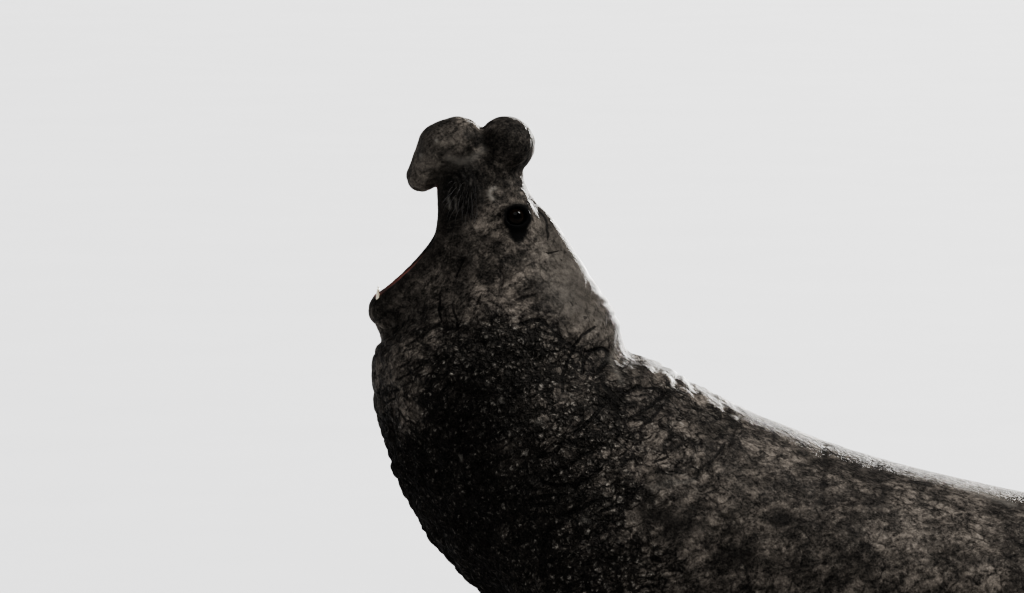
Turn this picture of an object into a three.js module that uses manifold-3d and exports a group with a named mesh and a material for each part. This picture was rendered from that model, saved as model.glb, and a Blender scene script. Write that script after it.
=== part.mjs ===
// Bull elephant seal at life size, reared up with its mouth wide open.
// Millimetres, +Z up, the head towards -X, the animal's left side towards -Y, the floor at z = 0.
// The flesh is one smooth field of named masses, meshed coarsely node by node and parted with thin cuts.
import * as THREE from "three";
import { mergeVertices } from "three/addons/utils/BufferGeometryUtils.js";
import Module from "manifold-3d";

const wasm = await Module();
wasm.setup();

// Driving sizes
const GAP = 0.3; // between nodes that touch
const SWELL = 1.5; // how far a vertex moves for its faces to move by one gap
const SHORTEST_EDGE = 0.12;
const FAR = 9000; // larger than the whole animal
const FLOOR = 0;

// Mid-line of the body from the tail root to the bridge of the nose, in the plane y = 0:
// place x and z, half depth in that plane and half width across it.
const STATIONS = [
  { x: 3340, z: 62, depth: 82, width: 110 }, // tail root
  { x: 3100, z: 92, depth: 122, width: 190 },
  { x: 2790, z: 140, depth: 178, width: 290 }, // hips
  { x: 2480, z: 180, depth: 220, width: 370 },
  { x: 2170, z: 216, depth: 256, width: 430 }, // loin
  { x: 1860, z: 247, depth: 287, width: 475 },
  { x: 1544, z: 275, depth: 318, width: 505 }, // belly
  { x: 1194, z: 318, depth: 356, width: 528 },
  { x: 884, z: 364, depth: 402, width: 538 },
  { x: 589, z: 438, depth: 444, width: 540 }, // chest
  { x: 341, z: 545, depth: 464, width: 532 },
  { x: 170, z: 667, depth: 458, width: 512 },
  { x: 62, z: 812, depth: 438, width: 474 }, // chest shield
  { x: 8, z: 942, depth: 414, width: 424 },
  { x: 14, z: 1070, depth: 372, width: 354 }, // throat
  { x: 9, z: 1175, depth: 318, width: 288 },
  { x: 3, z: 1277, depth: 251, width: 228 }, // back of the skull
  { x: -10, z: 1367, depth: 196, width: 190 },
  { x: -32, z: 1437, depth: 153, width: 166 }, // eyes
  { x: -56, z: 1528, depth: 136, width: 132 }, // muzzle
  { x: -59, z: 1612, depth: 128, width: 112 },
  { x: -62, z: 1648, depth: 90, width: 92 }, // bridge of the nose
];
const MIDLINE_STEPS = 220;
const END_ROUNDING = 0.7; // length of the rounded ends, as a share of the half depth there

// Masses that swell out of the body. Paired ones are given for one side only, as the field is read at |y|.
// Each is an egg, with a place, radii and the tilt of its length, or a limb, with two ends that have a radius
// each and a factor by which it is wider across.
const MASSES = {
  whiskerPad: { at: [-118, 80, 1512], radii: [62, 60, 84], blend: 40 },
  brow: { at: [46, 92, 1446], radii: [46, 50, 76], blend: 60 },
  upperCheek: { from: [-112, 80, 1490], to: [-108, 92, 1380], radii: [52, 58], wide: 1, blend: 50 },
  lowerCheek: { from: [-108, 92, 1380], to: [-262, 74, 1204], radii: [56, 40], wide: 1, blend: 46 },
  lowerJaw: { from: [-346, 0, 1146], to: [-140, 0, 1290], radii: [58, 88], wide: 1.42, blend: 54 },
  chin: { from: [-350, 0, 1148], to: [-322, 0, 1100], radii: [60, 60], wide: 1.3, blend: 22 },
  throatRoll: { at: [-252, 0, 982], radii: [126, 230, 74], tilt: 12, blend: 50 },
  shoulder: { at: [262, 345, 420], radii: [230, 190, 250], blend: 120 },
  upperArm: { from: [235, 330, 400], to: [265, 524, 96], radii: [150, 72], wide: 1, blend: 90 },
  heelOfHand: { at: [276, 540, 52], radii: [92, 84, 58], blend: 44 },
  legStub: { from: [3060, 70, 124], to: [3330, 118, 78], radii: [100, 62], wide: 1, blend: 110 },
};

// The nose is added after the mouth, because its tip hangs in front of the mouth.
const NOSE = {
  frontLobe: { from: [-130, 0, 1664], to: [-161, 0, 1655], radii: [87, 87], wide: 1.38, blend: 20 },
  hangingTip: { from: [-186, 0, 1642], to: [-242, 0, 1562], radii: [80, 52], wide: 1.45, blend: 20 },
  rearLobe: { at: [19, 0, 1660], radii: [93, 122, 93], blend: 8 },
};

// The mouth is cut out along the palate, along the floor of the jaw and into the throat.
const MOUTH = {
  underPalate: { from: [-226, 0, 1488], to: [-122, 0, 1350], radii: [68, 74], wide: 1.1, blend: 26 },
  overJawFloor: { from: [-352, 0, 1222], to: [-130, 0, 1344], radii: [40, 70], wide: 1.3, blend: 26 },
  throat: { from: [-130, 0, 1348], to: [-20, 0, 1290], radii: [66, 40], wide: 1.1, blend: 26 },
  creaseUnderChin: { from: [-400, 0, 1056], to: [-384, 130, 1078], radii: [17, 12], wide: 1, blend: 24 },
};

// The lip line of one side, from the middle of the upper lip round the corner to the middle of the lower lip.
const LIP_LINE = [
  [-176, 0, 1546],
  [-174, 52, 1528],
  [-172, 92, 1476],
  [-178, 112, 1416],
  [-190, 120, 1360],
  [-236, 110, 1297],
  [-298, 86, 1233],
  [-344, 54, 1196],
  [-364, 0, 1186],
];
const LIP_RADIUS = 21;
const LIP_BLEND = 26;
const LIP_STEPS = 28;
const LOWEST_LIP = 980; // the lips are too far off to matter below this
const REARMOST_LIP = 200; // or behind this

const EYE = { at: [50, 0, 1450], radius: 33, sunk: 20 };
const LID = { radius: 34, thickness: 11, raised: -2, long: 1.16, high: 0.94 }; // ring round the eye
const NOSTRIL = { at: [-258, 30, 1512], radii: [18, 12, 26], tilt: 30 };
const LOWER_CANINE = { at: [-374, 38, 1172], aim: [-0.3, 0.08, 0.95], length: 96, radius: 17 };
const UPPER_CANINE = { at: [-142, 44, 1492], aim: [-1, 0.05, -0.14], length: 96, radius: 17 };
const TAIL = { from: [3260, 0, 96], to: [3500, 0, 52], radii: [58, 26], wide: 1.5 };
const TONGUE = { from: [-120, 0, 1262], to: [-292, 0, 1172], radii: [62, 40], wide: 1.35 };

// Smooth field of the flesh: a length that is negative inside

function smoothUnion(a, b, k) {
  const h = Math.max(k - Math.abs(a - b), 0) / k;
  return Math.min(a, b) - (h * h * k) / 4;
}

const smoothCut = (a, b, k) => -smoothUnion(-a, b, k);

// Distance to an ellipsoid whose length may tilt in the plane y = 0.
function egg(x, y, z, { at, radii, tilt = 0 }) {
  const turn = THREE.MathUtils.degToRad(tilt);
  const c = Math.cos(turn);
  const s = Math.sin(turn);
  const dx = x - at[0];
  const dz = z - at[2];
  const q = [(dx * c + dz * s) / radii[0], (y - at[1]) / radii[1], (dz * c - dx * s) / radii[2]];
  const near = Math.hypot(...q);
  const slope = Math.hypot(q[0] / radii[0], q[1] / radii[1], q[2] / radii[2]);
  return slope < 1e-9 ? -Math.min(...radii) : (near * (near - 1)) / slope;
}

// Distance to a straight limb with round ends, whose radius changes evenly and is wider across by a factor.
function limb(x, y, z, { from, to, radii, wide }) {
  const a = [to[0] - from[0], (to[1] - from[1]) / wide, to[2] - from[2]];
  const p = [x - from[0], (y - from[1]) / wide, z - from[2]];
  const share = (p[0] * a[0] + p[1] * a[1] + p[2] * a[2]) / (a[0] * a[0] + a[1] * a[1] + a[2] * a[2]);
  const t = Math.min(Math.max(share, 0), 1);
  const r = radii[0] + (radii[1] - radii[0]) * t;
  return Math.hypot(p[0] - a[0] * t, p[1] - a[1] * t, p[2] - a[2] * t) - r;
}

const massAt = (x, y, z, mass) => (mass.radii.length === 3 ? egg : limb)(x, y, z, mass);

// Points of a smooth curve through rows of numbers: each number follows the same even Catmull-Rom spline.
function smoothRows(rows, steps) {
  const made = [];
  for (let i = 0; i <= steps; i++) {
    const u = (i / steps) * (rows.length - 1);
    const k = Math.min(Math.floor(u), rows.length - 2);
    const t = u - k;
    const row = (n) => rows[Math.min(Math.max(n, 0), rows.length - 1)];
    const [p0, p1, p2, p3] = [row(k - 1), row(k), row(k + 1), row(k + 2)];
    made.push(
      p1.map((_, j) => {
        const a = 2 * p1[j];
        const b = p2[j] - p0[j];
        const c = 2 * p0[j] - 5 * p1[j] + 4 * p2[j] - p3[j];
        const d = 3 * p1[j] - p0[j] - 3 * p2[j] + p3[j];
        return 0.5 * (a + b * t + c * t * t + d * t * t * t);
      }),
    );
  }
  return made;
}

const midline = smoothRows(
  STATIONS.map((s) => [s.x, s.z, s.depth, s.width]),
  MIDLINE_STEPS,
);
const lipLine = smoothRows(LIP_LINE, LIP_STEPS);

// Where x, z lies beside the mid-line: how far off it, how far past its end, and the half depth and width
// there.
let lastPlace = { x: NaN, z: NaN };
function besideMidline(x, z) {
  if (lastPlace.x === x && lastPlace.z === z) return lastPlace;
  let best = Infinity;
  for (let i = 0; i < MIDLINE_STEPS; i++) {
    const [ax, az, ad, aw] = midline[i];
    const [bx, bz, bd, bw] = midline[i + 1];
    const ex = bx - ax;
    const ez = bz - az;
    const share = ((x - ax) * ex + (z - az) * ez) / (ex * ex + ez * ez);
    const t = Math.min(Math.max(share, 0), 1);
    const dx = x - ax - ex * t;
    const dz = z - az - ez * t;
    const d2 = dx * dx + dz * dz;
    if (d2 >= best) continue;
    best = d2;
    const length = Math.hypot(ex, ez);
    const past = (i === 0 && share < 0) || (i === MIDLINE_STEPS - 1 && share > 1);
    const along = past ? (dx * ex + dz * ez) / length : 0;
    lastPlace = {
      x,
      z,
      off: past ? (dx * ez - dz * ex) / length : Math.sqrt(d2),
      past: along,
      depth: ad + (bd - ad) * t,
      width: aw + (bw - aw) * t,
    };
  }
  return lastPlace;
}

function trunk(x, y, z) {
  const { off, past, depth, width } = besideMidline(x, z);
  const cap = depth * END_ROUNDING;
  const near = Math.hypot(off / depth, y / width, past / cap);
  const slope = Math.hypot(off / (depth * depth), y / (width * width), past / (cap * cap));
  return slope < 1e-9 ? -Math.min(depth, width) : (near * (near - 1)) / slope;
}

function lips(x, y, z) {
  let best = Infinity;
  for (let i = 0; i < LIP_STEPS; i++) {
    const [a, b] = [lipLine[i], lipLine[i + 1]];
    best = Math.min(best, limb(x, y, z, { from: a, to: b, radii: [LIP_RADIUS, LIP_RADIUS], wide: 1 }));
  }
  return best;
}

function flesh(x, yRaw, z) {
  const y = Math.abs(yRaw);
  let d = trunk(x, y, z);
  for (const m of Object.values(MASSES)) d = smoothUnion(d, massAt(x, y, z, m), m.blend);
  for (const m of Object.values(MOUTH)) d = smoothCut(d, massAt(x, y, z, m), m.blend);
  if (z > LOWEST_LIP && x < REARMOST_LIP) d = smoothUnion(d, lips(x, y, z), LIP_BLEND);
  for (const m of Object.values(NOSE)) d = smoothUnion(d, massAt(x, y, z, m), m.blend);
  return d;
}

// Meshes of a field

// The field closed off by a box, one and a half cells inside the grid's edge, where the body runs on past it.
function boxed(field, low, high, cell) {
  const inset = 1.5 * cell;
  return (x, y, z) => {
    const p = [x, y, z];
    const wall = Math.max(...p.map((v, m) => Math.max(low[m] + inset - v, v - high[m] + inset)));
    return Math.max(field(x, y, z), wall);
  };
}

// Which corners of a cell hang together: those inside along its edges, those outside across a face's diagonal
// too.
function cornerGroups(inside) {
  const group = new Array(8).fill(-1);
  const reach = (c, g) => {
    if (group[c] >= 0) return;
    group[c] = g;
    for (const [m, n] of [[1, 2], [2, 4], [4, 1]]) {
      if (inside[c ^ m] === inside[c]) reach(c ^ m, g);
      const parted = inside[c ^ m] && inside[c ^ n] && !inside[c ^ m ^ n];
      if (!inside[c] && parted) reach(c ^ m ^ n, g);
    }
  };
  inside.forEach((_, c) => reach(c, c));
  return group;
}

// Surface nets: a vertex in each cell for each sheet of the surface that passes through it, and one quad for
// each crossed edge of the grid. Then each vertex is moved along the field's slope until it lies on it.
function meshField(open, low, high, cell) {
  const field = boxed(open, low, high, cell);
  const n = low.map((l, i) => Math.ceil((high[i] - l) / cell) + 1);
  const at = (i, j, k) => (i * n[2] + k) * n[1] + j; // y runs fastest, so that the mid-line is looked up once
  const values = new Float64Array(n[0] * n[1] * n[2]);
  for (let i = 0; i < n[0]; i++)
    for (let k = 0; k < n[2]; k++)
      for (let j = 0; j < n[1]; j++)
        values[at(i, j, k)] = field(low[0] + i * cell, low[1] + j * cell, low[2] + k * cell);
  const cells = new Map();
  const positions = [];
  const corner = [0, 1, 2, 3, 4, 5, 6, 7].map((c) => [c & 1, (c >> 1) & 1, (c >> 2) & 1]);
  const edges = corner.flatMap((_, a) => [1, 2, 4].filter((bit) => !(a & bit)).map((bit) => [a, a | bit]));
  for (let i = 0; i < n[0] - 1; i++)
    for (let k = 0; k < n[2] - 1; k++)
      for (let j = 0; j < n[1] - 1; j++) {
        const v = corner.map(([a, b, c]) => values[at(i + a, j + b, k + c)]);
        const inside = v.map((d) => d < 0);
        if (inside.every((s) => s === inside[0])) continue;
        const groups = cornerGroups(inside);
        const sheets = new Map();
        for (const [a, b] of edges) {
          if (inside[a] === inside[b]) continue;
          const key = inside[a] ? groups[a] * 8 + groups[b] : groups[b] * 8 + groups[a];
          const t = v[a] / (v[a] - v[b]);
          const crossing = corner[a].map((c, m) => c + (corner[b][m] - c) * t);
          sheets.set(key, [...(sheets.get(key) ?? []), crossing]);
        }
        const vertices = new Map();
        for (const [key, crossings] of sheets) {
          vertices.set(key, positions.length / 3);
          const mean = [0, 1, 2].map((m) => crossings.reduce((sum, c) => sum + c[m], 0) / crossings.length);
          positions.push(...[i, j, k].map((place, m) => low[m] + (place + mean[m]) * cell));
        }
        cells.set(at(i, j, k), { groups, vertices });
      }
  settleOnSurface(field, positions, cell);
  const far = (p, q) => Math.hypot(...[0, 1, 2].map((m) => positions[3 * p + m] - positions[3 * q + m]));
  const index = [];
  for (let i = 0; i < n[0] - 1; i++)
    for (let k = 0; k < n[2] - 1; k++)
      for (let j = 0; j < n[1] - 1; j++)
        for (const m of [0, 1, 2]) {
          const next = [i, j, k].map((v, axis) => v + (axis === m));
          const inside = values[at(i, j, k)] < 0;
          if (inside === values[at(...next)] < 0) continue;
          const [a, b, c, d] = RING.map((steps) => {
            const place = [i, j, k];
            let local = 0;
            steps.forEach((step, s) => {
              const axis = (m + 1 + s) % 3;
              place[axis] -= step;
              local |= step << axis;
            });
            const { groups, vertices } = cells.get(at(...place));
            const [within, without] = inside ? [local, local | (1 << m)] : [local | (1 << m), local];
            return vertices.get(groups[within] * 8 + groups[without]);
          });
          const tris = far(a, c) < far(b, d) ? [a, b, c, a, c, d] : [a, b, d, b, c, d];
          index.push(...(inside ? tris : tris.reverse()));
        }
  return solidFrom(new Float32Array(positions), new Uint32Array(index));
}
const RING = [[0, 0], [1, 0], [1, 1], [0, 1]]; // the four cells round an edge of the grid, in order

// Moves each vertex down the slope of the field by its distance, in a few steps no longer than half a cell.
function settleOnSurface(field, positions, cell) {
  const ROUNDS = 4;
  const REACH = 2; // half width of the slope's measure
  for (let v = 0; v < positions.length; v += 3)
    for (let round = 0; round < ROUNDS; round++) {
      const [x, y, z] = positions.slice(v, v + 3);
      const d = field(x, y, z);
      const slope = [
        field(x + REACH, y, z) - field(x - REACH, y, z),
        field(x, y + REACH, z) - field(x, y - REACH, z),
        field(x, y, z + REACH) - field(x, y, z - REACH),
      ].map((s) => s / (2 * REACH));
      const steep = slope[0] ** 2 + slope[1] ** 2 + slope[2] ** 2;
      if (steep < 1e-3) continue;
      const step = THREE.MathUtils.clamp(d / steep, -cell / 2, cell / 2);
      for (let m = 0; m < 3; m++) positions[v + m] -= step * slope[m];
    }
}

// Solids

function solidFrom(vertProperties, triVerts) {
  return new wasm.Manifold(new wasm.Mesh({ numProp: 3, vertProperties, triVerts }));
}

function solidOf(geometry, matrix = new THREE.Matrix4()) {
  const bare = geometry.index ? geometry.toNonIndexed() : geometry.clone();
  bare.deleteAttribute("normal");
  bare.deleteAttribute("uv");
  const merged = mergeVertices(bare.applyMatrix4(matrix), 1e-3);
  return solidFrom(merged.attributes.position.array, new Uint32Array(merged.index.array));
}

function geometryOf(solid) {
  const { vertProperties, triVerts } = solid.getMesh();
  const geometry = new THREE.BufferGeometry();
  geometry.setAttribute("position", new THREE.BufferAttribute(new Float32Array(vertProperties), 3));
  geometry.setIndex(new THREE.BufferAttribute(new Uint32Array(triVerts), 1));
  return geometry;
}

// The same solid with every vertex moved out by a little more than the gap, so that its faces move by the
// gap.
function swollen(solid) {
  const geometry = geometryOf(solid);
  geometry.computeVertexNormals();
  const { position, normal } = geometry.attributes;
  const moved = position.array.map((v, i) => v + normal.array[i] * GAP * SWELL);
  return solidFrom(moved, geometry.index.array);
}

// The same solid with the vertices that a cut left almost on each other joined, and no slivers between them.
function withoutSlivers(solid) {
  const { vertProperties, triVerts } = solid.getMesh();
  const joined = Array.from({ length: vertProperties.length / 3 }, (_, i) => i);
  const root = (i) => (joined[i] === i ? i : root(joined[i]));
  const apart = (a, b, m) => vertProperties[3 * a + m] - vertProperties[3 * b + m];
  const far = (a, b) => Math.hypot(apart(a, b, 0), apart(a, b, 1), apart(a, b, 2));
  for (let t = 0; t < triVerts.length; t++) {
    const next = t % 3 === 2 ? t - 2 : t + 1;
    const [a, b] = [root(triVerts[t]), root(triVerts[next])];
    if (far(a, b) < SHORTEST_EDGE) joined[a] = b;
  }
  const kept = [];
  for (let t = 0; t < triVerts.length; t += 3) {
    const [a, b, c] = [0, 1, 2].map((m) => root(triVerts[t + m]));
    if (a !== b && b !== c && c !== a) kept.push(a, b, c);
  }
  return solidFrom(vertProperties, new Uint32Array(kept));
}

// The largest closed surface of a solid, without the scraps that a cut may leave.
function largest(solid) {
  return solid.decompose().reduce((a, b) => (b.volume() > a.volume() ? b : a));
}

function placed(at, { turnX = 0, turnY = 0, turnZ = 0, scale = [1, 1, 1] } = {}) {
  const turn = new THREE.Euler(...[turnX, turnY, turnZ].map(THREE.MathUtils.degToRad), "ZYX");
  return new THREE.Matrix4().compose(
    new THREE.Vector3(...at),
    new THREE.Quaternion().setFromEuler(turn),
    new THREE.Vector3(...scale),
  );
}

const onFloor = (solid) => solid.trimByPlane([0, 0, 1], FLOOR);

const planeOffset = ({ at, along }) => at[0] * along[0] + at[1] * along[1];

// The part of a solid between two planes across the body. Each plane is a point and a direction along the
// body towards the nose, and half the gap is left at each.
function between(solid, behind, ahead) {
  let part = solid;
  for (const [plane, way] of [[behind, 1], [ahead, -1]]) {
    if (!plane) continue;
    const towards = [way * plane.along[0], 0, way * plane.along[1]];
    part = part.trimByPlane(towards, way * planeOffset(plane) + GAP / 2);
  }
  return part;
}

// A plane square to the mid-line at a share of its steps.
function crossPlane(share) {
  const i = Math.round(share * MIDLINE_STEPS);
  const [a, b] = [midline[i - 1], midline[i + 1]];
  const length = Math.hypot(b[0] - a[0], b[1] - a[1]);
  return { at: midline[i].slice(0, 2), along: [(b[0] - a[0]) / length, (b[1] - a[1]) / length] };
}

const stationShare = (n) => n / (STATIONS.length - 1);

// Places on the flesh

// Where the flesh ends at one side, at a place x, z of the side view.
function sideOf(x, z) {
  let [low, high] = [0, FAR / 10];
  while (high - low > GAP / 10) {
    const middle = (low + high) / 2;
    if (flesh(x, middle, z) < 0) low = middle;
    else high = middle;
  }
  return low;
}

// The direction straight out of the flesh at a point.
function outwards(x, y, z) {
  const d = 4; // half width of the slope's measure
  return new THREE.Vector3(
    flesh(x + d, y, z) - flesh(x - d, y, z),
    flesh(x, y + d, z) - flesh(x, y - d, z),
    flesh(x, y, z + d) - flesh(x, y, z - d),
  ).normalize();
}

// Places a geometry whose own axis is `axis` at a point, with that axis along a direction.
function aimed(geometry, axis, at, direction) {
  const turn = new THREE.Quaternion().setFromUnitVectors(new THREE.Vector3(...axis), direction);
  const full = new THREE.Vector3(1, 1, 1);
  return solidOf(geometry, new THREE.Matrix4().compose(new THREE.Vector3(...at), turn, full));
}

// The same solid on the other side of the body, with its faces turned to point out again.
function otherSide(solid) {
  const { vertProperties, triVerts } = solid.getMesh();
  return solidFrom(
    vertProperties.map((v, i) => (i % 3 === 1 ? -v : v)),
    triVerts.toReversed(),
  );
}
const sides = (solid) => ({ left: otherSide(solid), right: solid });

// Flippers

// A thin plate with round edges. It runs from its root along one direction and from edge to edge along
// another, and its far edge is drawn out into digits: ring u of the loft lies u times the reach of each place
// across it.
function plate({ root, along, across, length, widths, thick, reach, ridge, digits }) {
  const ALONG_STEPS = 7;
  const ACROSS_STEPS = 16;
  const e1 = new THREE.Vector3(...along).normalize();
  const e3 = new THREE.Vector3().crossVectors(e1, new THREE.Vector3(...across)).normalize();
  const e2 = new THREE.Vector3().crossVectors(e3, e1);
  const positions = [];
  for (let i = 0; i <= ALONG_STEPS; i++) {
    const u = i / ALONG_STEPS;
    const width = THREE.MathUtils.lerp(widths[0], widths[1], Math.sin((u * Math.PI) / 2));
    const half = THREE.MathUtils.lerp(thick[0], thick[1], u ** 0.8) / 2;
    for (let j = 0; j < 2 * ACROSS_STEPS; j++) {
      const angle = (j + 0.5) * (Math.PI / ACROSS_STEPS);
      const a = Math.cos(angle);
      const rib = 1 + ridge * u * Math.cos(digits * Math.PI * (a + 1));
      const s = Math.sign(Math.sin(angle)) * Math.abs(Math.sin(angle)) ** 0.6;
      const far = length * u * reach(a, u);
      const point = new THREE.Vector3(...root)
        .addScaledVector(e1, far)
        .addScaledVector(e2, (a * width) / 2)
        .addScaledVector(e3, s * half * rib);
      positions.push(...point.toArray());
    }
  }
  const ring = 2 * ACROSS_STEPS;
  const index = [];
  for (let i = 0; i < ALONG_STEPS; i++)
    for (let j = 0; j < ring; j++) {
      const [a, b] = [i * ring + j, i * ring + ((j + 1) % ring)];
      index.push(a, b, b + ring, a, b + ring, a + ring);
    }
  const last = ALONG_STEPS * ring;
  for (let j = 0; j < ACROSS_STEPS - 1; j++) {
    const [a, b, c, d] = [j, j + 1, ring - 2 - j, ring - 1 - j];
    index.push(a, c, b, a, d, c);
    index.push(last + a, last + b, last + c, last + a, last + c, last + d);
  }
  const solid = solidFrom(new Float32Array(positions), new Uint32Array(index));
  const tips = [];
  for (let d = 0; d < digits; d++) {
    const a = -1 + (2 * d + 1) / digits;
    const at = new THREE.Vector3(...root)
      .addScaledVector(e1, length * reach(a, 1))
      .addScaledVector(e2, (a * widths[1]) / 2);
    tips.push(at);
  }
  return { solid, tips, along: e1, up: e3 };
}

// How far each place across the plate reaches: a slant or a hollow, and a round end to each digit.
const scallop = (a, digits) => Math.abs(Math.cos((digits * Math.PI * (a + 1)) / 2 + Math.PI / 2));
const foreReach = (a, u) => 1 - 0.3 * ((a + 1) / 2) ** 1.4 - 0.1 * u ** 4 * (1 - scallop(a, 5));
const hindReach = (a, u) => 0.7 + 0.3 * Math.abs(a) ** 1.6 - 0.07 * u ** 4 * (1 - scallop(a, 5));

const FORE = {
  root: [268, 512, 52],
  along: [0.42, 0.9, -0.09],
  across: [0.9, -0.42, 0],
  length: 372,
  widths: [120, 262],
  thick: [78, 24],
  reach: foreReach,
  ridge: 0.24,
  digits: 5,
};
const CONE_FACETS = 8; // sides of a claw or a tooth
const EYE_FACETS = [14, 9]; // round and from pole to pole
const EGG_FACETS = [12, 8];
const RING_FACETS = [6, 18]; // round the ring's body and round the eye
const CLAW = { length: 58, radius: 9, sunk: 26, raised: 5, droop: 0.1 };
const HIND = {
  root: [3260, 98, 88],
  along: [0.97, 0.2, -0.05],
  across: [-0.15, 0.72, -0.62],
  length: 560,
  widths: [120, 350],
  thick: [92, 22],
  reach: hindReach,
  ridge: 0.36,
  digits: 5,
};

function foreHand() {
  const { solid, tips, along, up } = plate(FORE);
  const claws = tips.map((tip) => {
    const at = tip.clone();
    at.addScaledVector(along, CLAW.length / 2 - CLAW.sunk).addScaledVector(up, CLAW.raised);
    const direction = along.clone().addScaledVector(up, -CLAW.droop).normalize();
    const cone = new THREE.ConeGeometry(CLAW.radius, CLAW.length, CONE_FACETS);
    return aimed(cone, [0, 1, 0], at.toArray(), direction);
  });
  return claws.reduce((hand, claw) => hand.add(claw), solid);
}

// The nodes of flesh

const CUTS = {
  hips: crossPlane(stationShare(2.5)),
  loin: crossPlane(stationShare(5.4)),
  belly: crossPlane(stationShare(8.4)),
  chest: { at: [404, 1046], along: [-0.19, 0.982] }, // through the notch of the nape
  neck: { at: [-30, 1152], along: [-0.285, 0.958] },
  jaw: { at: [-130, 1250], along: [0.82, 0.573] },
};

// Boxes of the grids and their cells. Each reaches past the cuts that part its node.
const GRIDS = {
  nose: { low: [-380, -260, 1380], high: [240, 260, 1840], cell: 24 },
  head: { low: [-420, -340, 960], high: [440, 340, 1780], cell: 31 },
  jaw: { low: [-520, -420, 940], high: [160, 420, 1500], cell: 28 },
  neck: { low: [-640, -660, 620], high: [720, 660, 1480], cell: 64 },
  chest: { low: [-700, -820, -260], high: [1160, 820, 1340], cell: 88 },
  arm: { low: [-220, 150, -220], high: [780, 780, 640], cell: 52 },
  belly: { low: [400, -820, -320], high: [2240, 820, 1020], cell: 96 },
  loin: { low: [1400, -780, -320], high: [3080, 780, 840], cell: 90 },
  hips: { low: [2280, -580, -220], high: [3640, 580, 640], cell: 60 },
};
const fleshIn = ({ low, high, cell }) => meshField(flesh, low, high, cell);

// The nose above the lip, with the tip that hangs in front of it.
const NOSE_CUT = { at: [-47, 0, 1568], tilt: -12, tipEdge: -201, tipLow: 1440 };
function noseCutter(gap) {
  const above = solidOf(
    new THREE.BoxGeometry(FAR, FAR, FAR),
    placed(NOSE_CUT.at, { turnY: NOSE_CUT.tilt }).multiply(placed([0, 0, FAR / 2 - gap])),
  );
  const tip = solidOf(
    new THREE.BoxGeometry(FAR, FAR, FAR),
    placed([NOSE_CUT.tipEdge + gap - FAR / 2, 0, NOSE_CUT.tipLow - gap + FAR / 2]),
  );
  return above.add(tip);
}

// The forearm outside the breast: a box below and beyond a slanting face beside the breast.
const ARM_CUT = { at: [262, 418, 250], slant: 35, turn: 9, length: 620 };
function armCutter(gap) {
  const face = placed(ARM_CUT.at, { turnX: -ARM_CUT.slant, turnZ: ARM_CUT.turn });
  return solidOf(
    new THREE.BoxGeometry(ARM_CUT.length + 2 * gap, FAR, FAR / 4),
    face.multiply(placed([0, FAR / 2 - gap, 0])),
  );
}

function lidRing(eyeAt, out) {
  const ring = new THREE.TorusGeometry(LID.radius, LID.thickness, ...RING_FACETS);
  ring.scale(LID.high, LID.long, 1);
  return aimed(ring, [0, 0, 1], eyeAt, out);
}

function buildHead() {
  const eyeY = sideOf(EYE.at[0], EYE.at[2]);
  const out = outwards(EYE.at[0], eyeY, EYE.at[2]);
  const surface = new THREE.Vector3(EYE.at[0], eyeY, EYE.at[2]);
  const eyeAt = surface.clone().addScaledVector(out, -EYE.sunk);
  const lidAt = surface.clone().addScaledVector(out, LID.raised);
  const ball = new THREE.SphereGeometry(EYE.radius, ...EYE_FACETS);
  const eye = aimed(ball, [0, 1, 0], eyeAt.toArray(), out);
  const room = new THREE.SphereGeometry(EYE.radius + GAP, ...EYE_FACETS);
  const socket = aimed(room, [0, 1, 0], eyeAt.toArray(), out);
  const ring = lidRing(lidAt.toArray(), out);
  let head = fleshIn(GRIDS.head);
  for (const solid of [ring, otherSide(ring)]) head = head.add(solid);
  for (const solid of [socket, otherSide(socket)]) head = head.subtract(solid);
  return { head, eye };
}

function canine({ at, aim, length, radius }) {
  const direction = new THREE.Vector3(...aim).normalize();
  return aimed(new THREE.ConeGeometry(radius, length, CONE_FACETS), [0, 1, 0], at, direction);
}

const solids = new Map();
const { head: headFlesh, eye } = buildHead();
const overJaw = (solid) => between(between(solid, CUTS.neck, null), CUTS.jaw, null);
const underJaw = (solid) => between(solid, CUTS.neck, CUTS.jaw);
let head = overJaw(headFlesh).subtract(noseCutter(GAP));
let proboscis = overJaw(fleshIn(GRIDS.nose)).intersect(noseCutter(0));
const jawFlesh = fleshIn(GRIDS.jaw);
let jaw = underJaw(jawFlesh);
for (const tooth of [canine(LOWER_CANINE), otherSide(canine(LOWER_CANINE))]) jaw = jaw.add(tooth);
for (const tooth of [canine(UPPER_CANINE), otherSide(canine(UPPER_CANINE))]) head = head.add(tooth);
for (const side of [1, -1]) {
  const [x, y, z] = NOSTRIL.at;
  const hole = placed([x, y * side, z], { turnY: NOSTRIL.tilt, scale: NOSTRIL.radii });
  proboscis = proboscis.subtract(solidOf(new THREE.SphereGeometry(1, ...EGG_FACETS), hole));
}
solids.set("proboscis", proboscis);
solids.set("head", head);
solids.set("lower_jaw", jaw);
solids.set("eye_right", eye);
solids.set("eye_left", otherSide(eye));

const tongueGrid = { low: [-400, -140, 1060], high: [40, 140, 1420], cell: 28 };
const tongueField = (x, y, z) => limb(x, Math.abs(y), z, TONGUE);
const tongueWhole = meshField(tongueField, tongueGrid.low, tongueGrid.high, tongueGrid.cell);
solids.set("tongue", underJaw(tongueWhole).subtract(swollen(jawFlesh)));

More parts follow.
